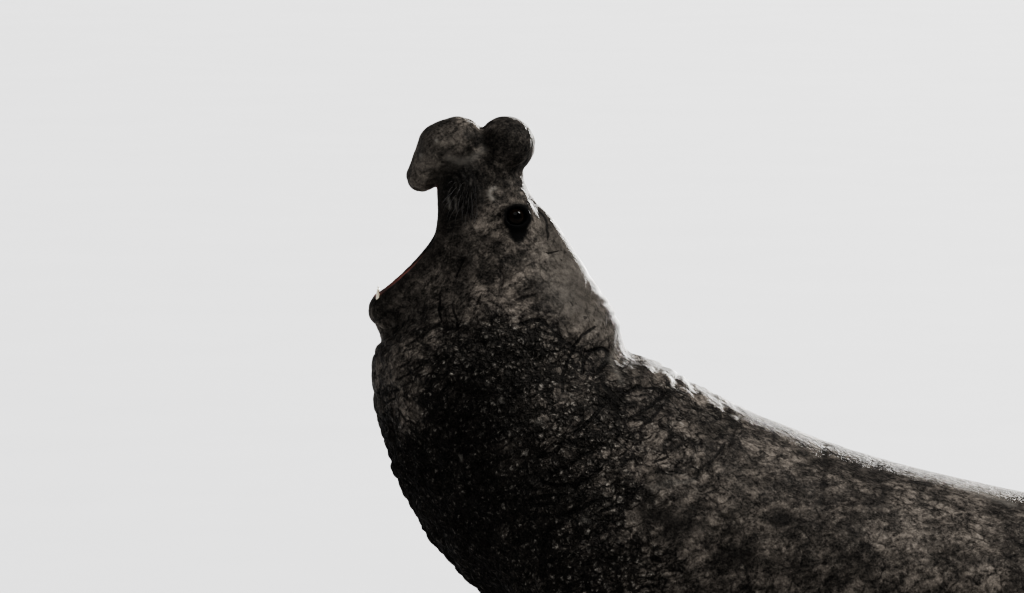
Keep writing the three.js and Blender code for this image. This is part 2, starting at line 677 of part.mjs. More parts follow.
solids.set("neck", between(fleshIn(GRIDS.neck), CUTS.chest, CUTS.neck));
let chest = onFloor(between(fleshIn(GRIDS.chest), CUTS.belly, CUTS.chest));
const arm = fleshIn(GRIDS.arm).add(foreHand()).intersect(armCutter(0));
for (const [side, solid] of Object.entries(sides(arm))) solids.set("fore_flipper_" + side, onFloor(solid));
for (const solid of Object.values(sides(armCutter(GAP)))) chest = chest.subtract(solid);
solids.set("chest", chest);
solids.set("belly", onFloor(between(fleshIn(GRIDS.belly), CUTS.loin, CUTS.belly)));
solids.set("loin", onFloor(between(fleshIn(GRIDS.loin), CUTS.hips, CUTS.loin)));
const hipsFlesh = fleshIn(GRIDS.hips);
solids.set("hips", onFloor(between(hipsFlesh, null, CUTS.hips)));

const hipsSkin = swollen(hipsFlesh);
const hind = sides(plate(HIND).solid);
for (const side of ["left", "right"]) {
  solids.set("hind_flipper_" + side, onFloor(hind[side]).subtract(hipsSkin));
}
const tailGrid = { low: [3140, -160, -80], high: [3640, 160, 240], cell: 34 };
const tailField = (x, y, z) => limb(x, y, z, TAIL);
const tailWhole = meshField(tailField, tailGrid.low, tailGrid.high, tailGrid.cell);
solids.set("tail", onFloor(tailWhole).subtract(hipsSkin));

// Colour and roughness of each node
const COAT = [0x5a5048, 0.74];
const THIN_COAT = [0x443c35, 0.78];
const DARK_COAT = [0x3d3630, 0.7];
const FLIPPER = [0x332e2a, 0.62];
const WET_EYE = [0x0c0a09, 0.12];
const TONGUE_FLESH = [0x7d544c, 0.42];
const LOOKS = {
  proboscis: DARK_COAT,
  lower_jaw: DARK_COAT,
  neck: THIN_COAT,
  eye_left: WET_EYE,
  eye_right: WET_EYE,
  tongue: TONGUE_FLESH,
  fore_flipper_left: FLIPPER,
  fore_flipper_right: FLIPPER,
  hind_flipper_left: FLIPPER,
  hind_flipper_right: FLIPPER,
};

const seal = new THREE.Group();
for (const [name, solid] of solids) {
  const [color, roughness] = LOOKS[name] ?? COAT;
  const material = new THREE.MeshStandardMaterial({ color, roughness, metalness: 0 });
  const mesh = new THREE.Mesh(geometryOf(withoutSlivers(largest(solid))), material);
  mesh.name = name;
  seal.add(mesh);
}

// The origin is on the floor under the middle of the animal.
const middle = new THREE.Box3().setFromObject(seal).getCenter(new THREE.Vector3());
seal.position.set(-middle.x, -middle.y, 0);

export default seal;
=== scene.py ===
"""Bull elephant seal, reared up with its mouth wide open, at life size.

One skin stands for all the flesh. Its form is worked out in millimetres in the maker's own frame, and each
mesh is moved along x over the floor's origin and turned into metres when it is made.
"""
import math

import bpy
import numpy as np
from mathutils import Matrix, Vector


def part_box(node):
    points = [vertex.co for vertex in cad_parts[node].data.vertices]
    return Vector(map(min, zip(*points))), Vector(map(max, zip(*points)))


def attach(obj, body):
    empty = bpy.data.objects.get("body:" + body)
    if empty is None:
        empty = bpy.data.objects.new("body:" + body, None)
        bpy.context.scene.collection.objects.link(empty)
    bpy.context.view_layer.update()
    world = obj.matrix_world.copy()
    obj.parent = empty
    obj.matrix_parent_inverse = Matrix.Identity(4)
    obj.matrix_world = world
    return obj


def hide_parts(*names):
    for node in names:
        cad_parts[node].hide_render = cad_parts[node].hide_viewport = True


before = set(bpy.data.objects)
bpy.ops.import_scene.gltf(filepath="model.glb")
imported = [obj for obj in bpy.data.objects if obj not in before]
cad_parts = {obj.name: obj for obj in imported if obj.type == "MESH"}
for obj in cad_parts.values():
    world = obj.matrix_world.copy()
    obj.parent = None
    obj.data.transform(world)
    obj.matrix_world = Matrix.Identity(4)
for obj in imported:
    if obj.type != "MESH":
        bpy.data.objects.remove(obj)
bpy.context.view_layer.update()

# Sizes, in millimetres

MM = 0.001  # metres in a millimetre
COAT_DEPTH = 2.0  # how far the skin lies inside the solids
FLOOR_EDGE = 26  # rounding where the body lies on the floor
CLEAR_OF_FLOOR = 1  # how far the skin ends above the floor

# Mid-line of the body from the tail root to the bridge of the nose: x, z, half depth, half width.
STATIONS = [
    (3340, 62, 82, 110),
    (3100, 92, 122, 190),
    (2790, 140, 178, 290),
    (2480, 180, 220, 370),
    (2170, 216, 256, 430),
    (1860, 247, 287, 475),
    (1544, 275, 318, 505),
    (1194, 318, 356, 528),
    (884, 364, 402, 538),
    (589, 438, 444, 540),
    (341, 545, 464, 532),
    (170, 667, 458, 512),
    (62, 812, 438, 474),
    (8, 942, 414, 424),
    (14, 1070, 372, 354),
    (9, 1175, 318, 288),
    (3, 1277, 251, 228),
    (-10, 1367, 196, 190),
    (-32, 1437, 153, 166),
    (-56, 1528, 136, 132),
    (-59, 1612, 128, 112),
    (-62, 1648, 90, 92),
]
MIDLINE_STEPS = 220
END_ROUNDING = 0.7

# Masses that swell out of the body, for one side: (kind, sizes, blend).
MASSES = [
    ("egg", dict(at=(-118, 80, 1512), radii=(62, 60, 84)), 40),  # whisker pad
    ("egg", dict(at=(46, 92, 1446), radii=(46, 50, 76)), 60),  # brow
    ("limb", dict(start=(-112, 80, 1490), end=(-108, 92, 1380), radii=(52, 58)), 50),  # upper cheek
    ("limb", dict(start=(-108, 92, 1380), end=(-262, 74, 1204), radii=(56, 40)), 46),  # lower cheek
    ("limb", dict(start=(-346, 0, 1146), end=(-140, 0, 1290), radii=(58, 88), wide=1.42), 54),  # jaw
    ("limb", dict(start=(-350, 0, 1148), end=(-322, 0, 1100), radii=(60, 60), wide=1.3), 22),  # chin
    ("egg", dict(at=(-252, 0, 982), radii=(126, 230, 74), tilt=12), 50),  # throat roll
    ("egg", dict(at=(262, 345, 420), radii=(230, 190, 250)), 120),  # shoulder
    ("limb", dict(start=(235, 330, 400), end=(265, 524, 96), radii=(150, 72)), 90),  # upper arm
    ("egg", dict(at=(276, 540, 52), radii=(92, 84, 58)), 44),  # heel of the hand
    ("limb", dict(start=(3060, 70, 124), end=(3330, 118, 78), radii=(100, 62)), 110),  # stub of the leg
    ("limb", dict(start=(3260, 0, 96), end=(3500, 0, 52), radii=(58, 26), wide=1.5), 40),  # tail
]
MOUTH = [
    ("limb", dict(start=(-226, 0, 1488), end=(-122, 0, 1350), radii=(68, 74), wide=1.1), 26),  # palate
    ("limb", dict(start=(-352, 0, 1222), end=(-130, 0, 1344), radii=(40, 70), wide=1.3), 26),  # floor
    ("limb", dict(start=(-130, 0, 1348), end=(-20, 0, 1290), radii=(66, 40), wide=1.1), 26),  # throat
]
CHIN_CREASE = ("limb", dict(start=(-400, 0, 1056), end=(-384, 130, 1078), radii=(17, 12)), 24)
LIP_LINE = [
    (-176, 0, 1546),
    (-174, 52, 1528),
    (-172, 92, 1476),
    (-178, 112, 1416),
    (-190, 120, 1360),
    (-236, 110, 1297),
    (-298, 86, 1233),
    (-344, 54, 1196),
    (-364, 0, 1186),
]
LIP_RADIUS = 21
LIP_BLEND = 26
LIP_STEPS = 28
NOSE = [
    ("limb", dict(start=(-130, 0, 1664), end=(-161, 0, 1655), radii=(87, 87), wide=1.38), 20),  # front lobe
    ("limb", dict(start=(-186, 0, 1642), end=(-242, 0, 1562), radii=(80, 52), wide=1.45), 20),  # hanging tip
    ("egg", dict(at=(19, 0, 1660), radii=(93, 122, 93)), 8),  # rear lobe
]
NOSTRIL = ("egg", dict(at=(-258, 30, 1512), radii=(18, 12, 26), tilt=-30), 8)

EYE_PLACE = (50, 1450)  # x and z on the side of the head
EYE_RADIUS = 33
EYE_SUNK = 20
EYE_GAP = 0.4  # between the eyeball and its solid
SOCKET_GAP = 0.5  # between the eyeball's solid and its socket
SOCKET_BLEND = 3
LID_RADIUS = 34
LID_SHAPE = (0.94, 1.16)  # the lid's oval, as shares of its radius upwards and forwards
LID_THICKNESS = 7
LID_SUNK = 2
LID_BLEND = 16

# Flippers: widths and thicknesses at root and tip, shares of the length, a box round one, and its blend.
FORE = dict(
    root=(268, 512, 52), along=(0.42, 0.9, -0.09), across=(0.9, -0.42, 0), length=372,
    widths=(120, 262), thick=(78, 24), slant=0.3, hollow=0, notch=0.1, ridge=0.24,
    box=((100, 380, -40), (760, 920, 160)), blend=34,
)
HIND = dict(
    root=(3260, 98, 88), along=(0.97, 0.2, -0.05), across=(-0.15, 0.72, -0.62), length=560,
    widths=(120, 350), thick=(92, 22), slant=0, hollow=0.3, notch=0.07, ridge=0.36,
    box=((3100, -60, -60), (3900, 520, 260)), blend=30,
)
DIGITS = 5
TIP_ROUNDING = 14
ROOT_ROUNDING = 30
ROOT_DEPTH = 45  # how far a flipper's plate runs back into the limb
FAR_OUT = 900.0  # further to one side than any flesh of the trunk

# The field of the flesh: a length, negative inside


def smooth_union(a, b, k):
    """The smaller of two fields, less k h^2 / 4 where they differ by less than k; h is 1 - |a-b|/k."""
    h = np.maximum(k - np.abs(a - b), 0) / k
    return np.minimum(a, b) - h * h * k / 4


def smooth_cut(a, b, k):
    """The first field with the second taken out of it: less the union of less the first with the second."""
    return -smooth_union(-a, b, k)


def egg(x, y, z, at, radii, tilt=0):
    """Distance to a tilted ellipsoid: n(n-1)/slope, n being the length of the offset over the radii."""
    c, s = math.cos(math.radians(tilt)), math.sin(math.radians(tilt))
    dx, dz = x - at[0], z - at[2]
    q = ((dx * c + dz * s) / radii[0], (y - at[1]) / radii[1], (dz * c - dx * s) / radii[2])
    near = np.sqrt(sum(v * v for v in q))
    slope = np.sqrt(sum((v / r) ** 2 for v, r in zip(q, radii)))
    return np.where(slope < 1e-9, -min(radii), near * (near - 1) / np.maximum(slope, 1e-9))


def limb(x, y, z, start, end, radii, wide=1):
    """Distance to a line, less a radius that changes evenly along it; y is divided by wide."""
    a = ((end[0] - start[0]), (end[1] - start[1]) / wide, end[2] - start[2])
    p = (x - start[0], (y - start[1]) / wide, z - start[2])
    t = np.clip(sum(u * v for u, v in zip(p, a)) / sum(v * v for v in a), 0, 1)
    off = np.sqrt(sum((u - v * t) ** 2 for u, v in zip(p, a)))
    return off - radii[0] - (radii[1] - radii[0]) * t


def mass_field(x, y, z, kind, sizes):
    """Distance to a mass of either kind."""
    return (egg if kind == "egg" else limb)(x, y, z, **sizes)


def smooth_rows(rows, steps):
    """Even Catmull-Rom curve through rows of numbers, at steps + 1 places."""
    rows = np.asarray(rows, float)
    u = np.arange(steps + 1) / steps * (len(rows) - 1)
    k = np.minimum(u.astype(int), len(rows) - 2)
    t = (u - k)[:, None]
    p0, p1, p2, p3 = (rows[np.clip(k + n, 0, len(rows) - 1)] for n in (-1, 0, 1, 2))
    square, cube = 2 * p0 - 5 * p1 + 4 * p2 - p3, 3 * p1 - p0 - 3 * p2 + p3
    return 0.5 * (2 * p1 + (p2 - p0) * t + square * t**2 + cube * t**3)


MIDLINE = smooth_rows(STATIONS, MIDLINE_STEPS)
LIPS = smooth_rows(LIP_LINE, LIP_STEPS)


def beside_midline(x, z):
    """The nearest place on the mid-line in the side view, as five numbers: distance off it, distance past an
    end, half depth, half width and the share of its length. The nearest of its straight pieces is kept."""
    x, z = np.broadcast_arrays(x, z)
    best = np.full(x.shape, np.inf)
    kept = np.zeros((5,) + x.shape)
    for i, (a, b) in enumerate(zip(MIDLINE[:-1], MIDLINE[1:])):
        ex, ez = b[0] - a[0], b[1] - a[1]
        length = math.hypot(ex, ez)
        share = ((x - a[0]) * ex + (z - a[1]) * ez) / length**2
        t = np.clip(share, 0, 1)
        dx, dz = x - a[0] - ex * t, z - a[1] - ez * t
        d2 = dx * dx + dz * dz
        nearer = d2 < best
        if not nearer.any():
            continue
        past = (share < 0) if i == 0 else (share > 1) if i == MIDLINE_STEPS - 1 else np.zeros(x.shape, bool)
        off = np.where(past, np.abs(dx * ez - dz * ex) / length, np.sqrt(d2))
        along = np.where(past, (dx * ex + dz * ez) / length, 0)
        rows = (off, along, a[2] + (b[2] - a[2]) * t, a[3] + (b[3] - a[3]) * t, (i + t) / MIDLINE_STEPS)
        for row, value in zip(kept, rows):
            row[nearer] = value[nearer]
        best[nearer] = d2[nearer]
    return kept


TABLE_STEP = 6
TABLE_LOW = (-640, -80)
TABLE_SIZE = (780, 330)
TABLE = beside_midline(
    TABLE_LOW[0] + TABLE_STEP * np.arange(TABLE_SIZE[0])[:, None],
    TABLE_LOW[1] + TABLE_STEP * np.arange(TABLE_SIZE[1])[None, :],
)
SOFTENING_ROUNDS = 40
# The half depth and width jump behind the nape, so they are blurred into a fold.
for _ in range(SOFTENING_ROUNDS):
    inner = TABLE[2:4, 1:-1, 1:-1]
    around = TABLE[2:4, :-2, 1:-1] + TABLE[2:4, 2:, 1:-1] + TABLE[2:4, 1:-1, :-2] + TABLE[2:4, 1:-1, 2:]
    TABLE[2:4, 1:-1, 1:-1] = 0.5 * inner + 0.125 * around


def place_at(x, z):
    """The same five numbers, read between the table's four nearest entries by their shares of the square."""
    u, v = (x - TABLE_LOW[0]) / TABLE_STEP, (z - TABLE_LOW[1]) / TABLE_STEP
    i = np.clip(np.floor(u), 0, TABLE_SIZE[0] - 2).astype(int)
    j = np.clip(np.floor(v), 0, TABLE_SIZE[1] - 2).astype(int)
    s, t = u - i, v - j
    near = TABLE[:, i, j] * (1 - s) + TABLE[:, i + 1, j] * s
    far = TABLE[:, i, j + 1] * (1 - s) + TABLE[:, i + 1, j + 1] * s
    return near * (1 - t) + far * t


def trunk(place, y):
    """The body round the mid-line: an ellipse of its half depth and width, with rounded ends."""
    off, past, depth, width = place[:4]
    cap = depth * END_ROUNDING
    near = np.sqrt((off / depth) ** 2 + (y / width) ** 2 + (past / cap) ** 2)
    slope = np.sqrt((off / depth**2) ** 2 + (y / width**2) ** 2 + (past / cap**2) ** 2)
    return np.where(slope < 1e-9, -np.minimum(depth, width), near * (near - 1) / np.maximum(slope, 1e-9))


def lips(x, y, z):
    """Distance to the lip line, less its radius."""
    ends = zip(LIPS[:-1], LIPS[1:])
    return np.minimum.reduce([limb(x, y, z, start=a, end=b, radii=(LIP_RADIUS,) * 2) for a, b in ends])


def unit(v):
    """The vector divided by its length."""
    return np.asarray(v, float) / np.linalg.norm(v)


def plate_axes(along, across):
    """Axes along, across and out of a flipper's plate."""
    e1 = unit(along)
    e3 = unit(np.cross(e1, unit(across)))
    return e1, np.cross(e3, e1), e3


def reach_of(a, u, slant, hollow, notch, **_):
    """How far a flipper reaches at a place across it: a slanting edge, hollow, and notched between digits."""
    scallop = np.abs(np.cos(DIGITS * np.pi * (a + 1) / 2 + np.pi / 2))
    edge = 1 - slant * ((a + 1) / 2) ** 1.4 - hollow * (1 - np.abs(a) ** 1.6)
    return edge - notch * u**4 * (1 - scallop)


def plate_place(x, y, z, plate):
    """A flipper's own frame: share along and across, height, length along and across, and width there."""
    e1, e2, e3 = plate_axes(plate["along"], plate["across"])
    d = [v - r for v, r in zip((x, y, z), plate["root"])]
    far, q, h = (sum(c * v for c, v in zip(e, d)) for e in (e1, e2, e3))
    u = np.clip(far / plate["length"], 0, 1)
    narrow, broad = plate["widths"]
    for _ in range(4):  # the share along and the share across depend on each other
        width = narrow + (broad - narrow) * np.sin(u * np.pi / 2)
        a = np.clip(2 * q / width, -1, 1)
        u = np.clip(far / (plate["length"] * reach_of(a, u, **plate)), 0, 1)
    return u, a, h, far, q, width


def flipper(x, y, z, plate):
    """Thin plate with round edges: the greatest of its distances past its faces, edges, end and root."""
    u, a, h, far, q, width = plate_place(x, y, z, plate)
    thick, thin = plate["thick"]
    half = (thick + (thin - thick) * u**0.8) / 2
    rib = 1 + plate["ridge"] * u * np.cos(DIGITS * np.pi * (a + 1))
    face = np.abs(h) - half * rib * (1 - np.minimum(a * a, 0.98)) ** 0.3
    side = np.abs(q) - width / 2
    end = far - plate["length"] * reach_of(a, np.ones_like(u), **plate)
    ended = smooth_cut(np.maximum(face, side), -end, TIP_ROUNDING)
    return smooth_cut(ended, far + ROOT_DEPTH, ROOT_ROUNDING)


def box_of(kind, sizes):
    """The box that holds a mass."""
    if kind == "egg":
        at, most = np.array(sizes["at"], float), np.array(sizes["radii"], float)
        if sizes.get("tilt"):
            most[0] = most[2] = max(most[0], most[2])
        return at - most, at + most
    ends = np.array([sizes["start"], sizes["end"]], float)
    most = max(sizes["radii"]) * np.array([1, sizes.get("wide", 1), 1])
    return ends.min(0) - most, ends.max(0) + most


def joined(d, x, y, z, low, high, join, field, k):
    """The field joined with another inside the box that the other one can reach."""
    near = (x > low[0] - k) & (x < high[0] + k)
    near = near & (y > low[1] - k) & (y < high[1] + k) & (z > low[2] - k) & (z < high[2] + k)
    if near.any():
        d[near] = join(d[near], field(*(np.broadcast_to(v, d.shape)[near] for v in (x, y, z))), k)
    return d


def with_masses(d, x, y, z, join, masses):
    """The field joined with each mass in turn."""
    for kind, sizes, k in masses:
        d = joined(d, x, y, z, *box_of(kind, sizes), join, lambda *p: mass_field(*p, kind, sizes), k)
    return d


def flesh(x, y, z):
    """The whole animal: the trunk joined with its masses, less the mouth, then with the lips and the nose."""
    y = np.abs(y)
    d = trunk(place_at(x, z), y)
    d = with_masses(d, x, y, z, smooth_union, MASSES)
    d = with_masses(d, x, y, z, smooth_cut, [*MOUTH, CHIN_CREASE])
    d = joined(d, x, y, z, LIPS.min(0) - LIP_RADIUS, LIPS.max(0) + LIP_RADIUS, smooth_union, lips, LIP_BLEND)
    return with_masses(d, x, y, z, smooth_union, NOSE)


def on_side(field, x, z, far, halvings=40):
    """Points of a field's surface at one side, each found by halving between the middle and far out."""
    low, high = np.zeros(len(x)), np.full(len(x), far)
    for _ in range(halvings):
        middle = (low + high) / 2
        inside = field(x, middle, z) < 0
        low, high = np.where(inside, middle, low), np.where(inside, high, middle)
    return np.stack([x, low, z], axis=1)


def slope_of(field, p, reach=2.0):
    """Value and slope of a field at points, from its values at the four corners of a small tetrahedron."""
    corners = np.array([(1, -1, -1), (-1, -1, 1), (-1, 1, -1), (1, 1, 1)], float)
    values = [field(*(p + c * reach).T) for c in corners]
    return sum(values) / 4, sum(v[:, None] * c for v, c in zip(values, corners)) / (4 * reach)


EYE_SURFACE = on_side(flesh, *(np.array([v], float) for v in EYE_PLACE), FAR_OUT)[0]
EYE_OUT = unit(slope_of(flesh, EYE_SURFACE[None], 4.0)[1][0])
EYE_CENTRE = EYE_SURFACE - EYE_OUT * EYE_SUNK
eye_low, eye_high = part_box("eye_right")
# Where the floor's origin lies along x in the maker's frame
SHIFT = EYE_CENTRE[0] - (eye_low.x + eye_high.x) / 2 / MM


def lid(x, y, z):
    """A ring round the eye: distance to an ellipse square to its direction, less the ring's thickness."""
    e2 = unit(np.cross(EYE_OUT, (0, 0, 1)))
    e1 = np.cross(e2, EYE_OUT)
    d = [v - c for v, c in zip((x, y, z), EYE_SURFACE - LID_SUNK * EYE_OUT)]
    up, over, out = (sum(c * v for c, v in zip(e, d)) for e in (e1, e2, EYE_OUT))
    ring = np.sqrt((up / LID_SHAPE[0]) ** 2 + (over / LID_SHAPE[1]) ** 2) - LID_RADIUS
    return np.sqrt(ring**2 + out**2) - LID_THICKNESS


def eye_ball(x, y, z):
    """Distance to the eye's socket, a sphere a little larger than the eyeball."""
    return np.sqrt(sum((v - c) ** 2 for v, c in zip((x, y, z), EYE_CENTRE))) - EYE_RADIUS - SOCKET_GAP


def skin_field(x, y, z):
    """The flesh with flippers, lids, sockets and nostrils, a coat's depth further in, flat on the floor."""
    d = flesh(x, y, z) + COAT_DEPTH
    y = np.abs(y)
    reach = 2 * EYE_RADIUS
    around_eye = (EYE_CENTRE - reach, EYE_CENTRE + reach)
    d = joined(d, x, y, z, *around_eye, smooth_union, lid, LID_BLEND)
    d = joined(d, x, y, z, *around_eye, smooth_cut, eye_ball, SOCKET_BLEND)
    d = with_masses(d, x, y, z, smooth_cut, [NOSTRIL])
    for plate in (FORE, HIND):
        d = joined(d, x, y, z, *plate["box"], smooth_union, lambda *p: flipper(*p, plate), plate["blend"])
    return smooth_cut(d, z - CLEAR_OF_FLOOR + 0 * d, FLOOR_EDGE)


def ladder(*spans):
    """Grid lines: spans of (from, to, spacing), laid end to end."""
    rungs = [np.linspace(a, b, max(round((b - a) / step), 1), endpoint=False) for a, b, step in spans]
    return np.append(np.concatenate(rungs), spans[-1][1])


def grid_values(lines):
    """The skin's field at every crossing of the grid's lines; one side only is worked out, and mirrored."""
    x, y, z = lines
    half = y[y >= 0]
    values = skin_field(x[:, None, None], half[None, :, None], z[None, None, :])
    return np.concatenate([values[:, :0:-1], values], axis=1)


def surface_net(values, lines):
    """One vertex in each cell that the surface crosses, at the mean of the crossings of its edges, and one
    quad for each crossed edge of the grid, turned to face outwards."""
    inside = values < 0
    n = values.shape
    corners = [(a, b, c) for a in (0, 1) for b in (0, 1) for c in (0, 1)]
    cut = lambda v, c: v[c[0]:n[0] - 1 + c[0], c[1]:n[1] - 1 + c[1], c[2]:n[2] - 1 + c[2]]
    count = sum(cut(inside, c).astype(np.int8) for c in corners)
    cells = np.argwhere((count > 0) & (count < 8))
    index = np.full(count.shape, -1)
    index[tuple(cells.T)] = np.arange(len(cells))
    total, crossings = np.zeros((len(cells), 3)), np.zeros(len(cells))
    for a in corners:
        for m in range(3):
            if a[m]:
                continue
            b = tuple(1 if i == m else v for i, v in enumerate(a))
            ia, ib = cells + a, cells + b
            va, vb = values[tuple(ia.T)], values[tuple(ib.T)]
            crossed = (va < 0) != (vb < 0)
            t = np.where(crossed, va / np.where(crossed, va - vb, 1), 0)[:, None]
            pa = np.stack([line[i] for line, i in zip(lines, ia.T)], axis=1)
            pb = np.stack([line[i] for line, i in zip(lines, ib.T)], axis=1)
            total += (pa + (pb - pa) * t) * crossed[:, None]
            crossings += crossed
    quads = []
    for m in range(3):
        lead = [slice(1, -1)] * 3
        lead[m] = slice(0, -1)
        trail = [slice(1, -1)] * 3
        trail[m] = slice(1, None)
        first, second = inside[tuple(lead)], inside[tuple(trail)]
        at = np.argwhere(first != second) + [0 if i == m else 1 for i in range(3)]
        outward = first[first != second]
        u, v = np.eye(3, dtype=int)[(m + 1) % 3], np.eye(3, dtype=int)[(m + 2) % 3]
        ring = np.stack([index[tuple((at - step).T)] for step in (u + v, v, 0 * u, u)], axis=1)
        quads.append(np.where(outward[:, None], ring, ring[:, ::-1]))
    return total / crossings[:, None], np.concatenate(quads)


def edge_pairs(quads):
    """The two ends of each edge, once for each edge."""
    pairs = np.concatenate([quads[:, [i, (i + 1) % 4]] for i in range(4)])
    return np.unique(np.sort(pairs, axis=1), axis=0)


def spread_evenly(p, pairs, normals, share):
    """Moves each point towards the mean of its neighbours, along the surface only."""
    total, count = np.zeros_like(p), np.zeros(len(p))
    for a, b in (pairs.T, pairs.T[::-1]):
        for m in range(3):
            total[:, m] += np.bincount(a, p[b, m], len(p))
        count += np.bincount(a, minlength=len(p))
    move = total / np.maximum(count, 1)[:, None] - p
    move -= normals * (move * normals).sum(1)[:, None]
    return p + move * share


def settle(p, rounds, most):
    """Moves each point down the field's slope by its distance, so that it lies on the skin."""
    for _ in range(rounds):
        value, slope = slope_of(skin_field, p)
        steep = np.maximum((slope**2).sum(1), 0.04)
        step = np.clip(value / steep, -most, most)
        p = p - slope * step[:, None]
    return p, slope / np.sqrt(np.maximum((slope**2).sum(1), 1e-9))[:, None]


# Grid lines, closest on the head and next on the flippers
X_LINES = ladder((-420, 170, 7.6), (170, 760, 13), (760, 3140, 36), (3140, 3900, 14))
Y_HALF = ladder((0, 260, 8), (260, 950, 14))
Y_LINES = np.concatenate([-Y_HALF[:0:-1], Y_HALF])
Z_LINES = ladder((-24, 120, 10), (120, 1120, 15.5), (1120, 1790, 7.6))

LONGEST_MOVE = 5
SPREAD_SHARE = 0.6

lines = (X_LINES, Y_LINES, Z_LINES)
points, quads = surface_net(grid_values(lines), lines)
pairs = edge_pairs(quads)
points, normals = settle(points, 2, LONGEST_MOVE)
for _ in range(2):
    points = spread_evenly(points, pairs, normals, SPREAD_SHARE)
    points, normals = settle(points, 1, LONGEST_MOVE)

# Relief of the skin


def smooth_step(v, low, high):
    """0 below low and 1 above high, eased between by 3t^2 - 2t^3; low may be the greater."""
    t = np.clip((v - low) / (high - low), 0, 1)
    return t * t * (3 - 2 * t)


CORNER_FACTORS = (0x8DA6B343, 0xD8163841, 0xCB1AB31F)
SHIFTS_AND_FACTORS = ((15, 0x2C1B3C6D), (12, 0x297A2D39))


def hashed(i, j, k, seed):
    """A random share for each corner of a lattice: its whole numbers multiplied, mixed and folded."""
    n = np.uint32(seed * 7919 + 17)
    for whole, factor in zip((i, j, k), CORNER_FACTORS):
        n = n ^ whole.astype(np.uint32) * np.uint32(factor)
    for shift, factor in SHIFTS_AND_FACTORS:
        n = (n ^ (n >> np.uint32(shift))) * np.uint32(factor)
    return (n ^ (n >> np.uint32(15))) / 2**32


def noise(p, size, seed):
    """Smooth random values from 0 to 1: a lattice's random corners, eased between by 3t^2 - 2t^3."""
    q = p / size
    whole = np.floor(q).astype(np.int64)
    t = (q - whole) ** 2 * (3 - 2 * (q - whole))
    total = np.zeros(len(p))
    for corner in np.ndindex(2, 2, 2):
        weight = np.prod(np.where(corner, t, 1 - t), axis=1)
        total += weight * hashed(*(whole + corner).T, seed)
    return total


def sway(p, size, amount, seed):
    """Smooth noise that goes as far below 0 as above it, its whole range being the amount."""
    return (noise(p, size, seed) - 0.5) * amount


def warped(p, size, amount, seed):
    """Points pushed about by smooth noise."""
    push = np.stack([noise(p, size, seed + m) for m in range(3)], axis=1)
    return p + (push - 0.5) * 2 * amount


def cobbles(p, size, seed):
    """How far inside its own cell a point lies: distance to the second nearest seed less the nearest."""
    q = p / size
    whole = np.floor(q).astype(np.int64)
    first, second = np.full(len(p), 9.0), np.full(len(p), 9.0)
    for step in np.ndindex(3, 3, 3):
        cell = whole + step - 1
        spot = np.stack([hashed(*cell.T, seed + m) for m in range(3)], axis=1)
        d = np.linalg.norm(cell + spot - q, axis=1)
        second = np.minimum(second, np.maximum(first, d))
        first = np.minimum(first, d)
    return second - first


# Bands in millimetres over which marks and relief come in: nothing at the first place and all at the second.
BANDS = dict(
    off_middle=(15, 60),
    shield_rear=(840, -20),
    light_nape_front=(150, 300),
    light_nape_foot=(980, 1060),
    light_nape_side=(240, 60),
    deep_rear=(230, -90),
    breast_rear=(360, 20),
    breast_top=(520, 260),
    pad_side=(20, 60),
    eye_side=(60, 90),
    neck_front=(40, 230),
    neck_top=(1520, 1400),
    nose_side=(240, 200),
    hand_edge=(60, 0),
    lining_edge=(16, 2),
    inside_lips=(-4, 8),
    off_nose=(2, 24),
    lip_edge=(14, -2),
    flank_front=(150, 330),
    flank_rear=(900, 560),
    flank_top=(1040, 900),
    back_front=(640, 820),
    back_rear=(2900, 2300),
    nape_reach=(330, 160),
    nape_foot=(820, 930),
    throat_rear=(40, -120),
    throat_top=(1180, 1060),
    throat_foot=(420, 700),
    nose_foot=(1560, 1610),
    cheek_foot=(1080, 1180),
    cheek_rear=(170, 40),
    body_front=(300, 700),
    off_floor=(4, 40),
    beside_crease=(30, 20),
    past_crease=(16, 2),
)


def band(name, v):
    """How far a place or distance has come through a band."""
    return smooth_step(v, *BANDS[name])


PIXEL = 3.1  # millimetres in a pixel of the side view
ORIGIN_PIXEL = (500, 680)


def photo_place(px, py):
    """x and z of a pixel in the side view, from the picture's own scale."""
    return (px - ORIGIN_PIXEL[0]) * PIXEL, (ORIGIN_PIXEL[1] - py) * PIXEL


# Edge of the dark shield of the breast, in pixels.
SHIELD_TOP = [
    (372, 352), (400, 345), (440, 330), (480, 322), (525, 314),
    (553, 316), (581, 326), (609, 332), (634, 348),
]
# Soft ovals in pixels: centre, and half size across and up.
# painted light on the upper throat, lit from the left: the shield and the dark breast are eased there
THROAT_PAINTED_LIGHT = (396, 384, 36, 56)
THROAT_CORE_PAINTED_LIGHT = (394, 380, 38, 56)
EYE_OVAL = (517, 213, 15, 14)
EYE_CORNER = (518, 226, 9.5, 11)
NOSE_FRONT = (432, 158, 34, 36)
PAD_PIXEL = (446, 184)  # in the middle of the whisker pad's curved wrinkles
PAD_PLACE = photo_place(*PAD_PIXEL)
PAD_OVALS = [  # with a strength before each
    (1.0, 462, 186, 25, 30),
    (0.85, 452, 214, 15, 24),
    (0.5, 462, 255, 12, 40),
    (0.6, 398, 305, 28, 26),
]
LOBE_JOINT = [(1.0, 492, 138, 15, 10), (0.8, 474, 134, 10, 6), (0.6, 514, 146, 24, 28)]
CREASE_GROUPS = 6
FULL_DEPTH = 7  # a crease as deep as this is drawn at full strength
FAR_OFF = 9.0  # half widths off a crease, where none is near
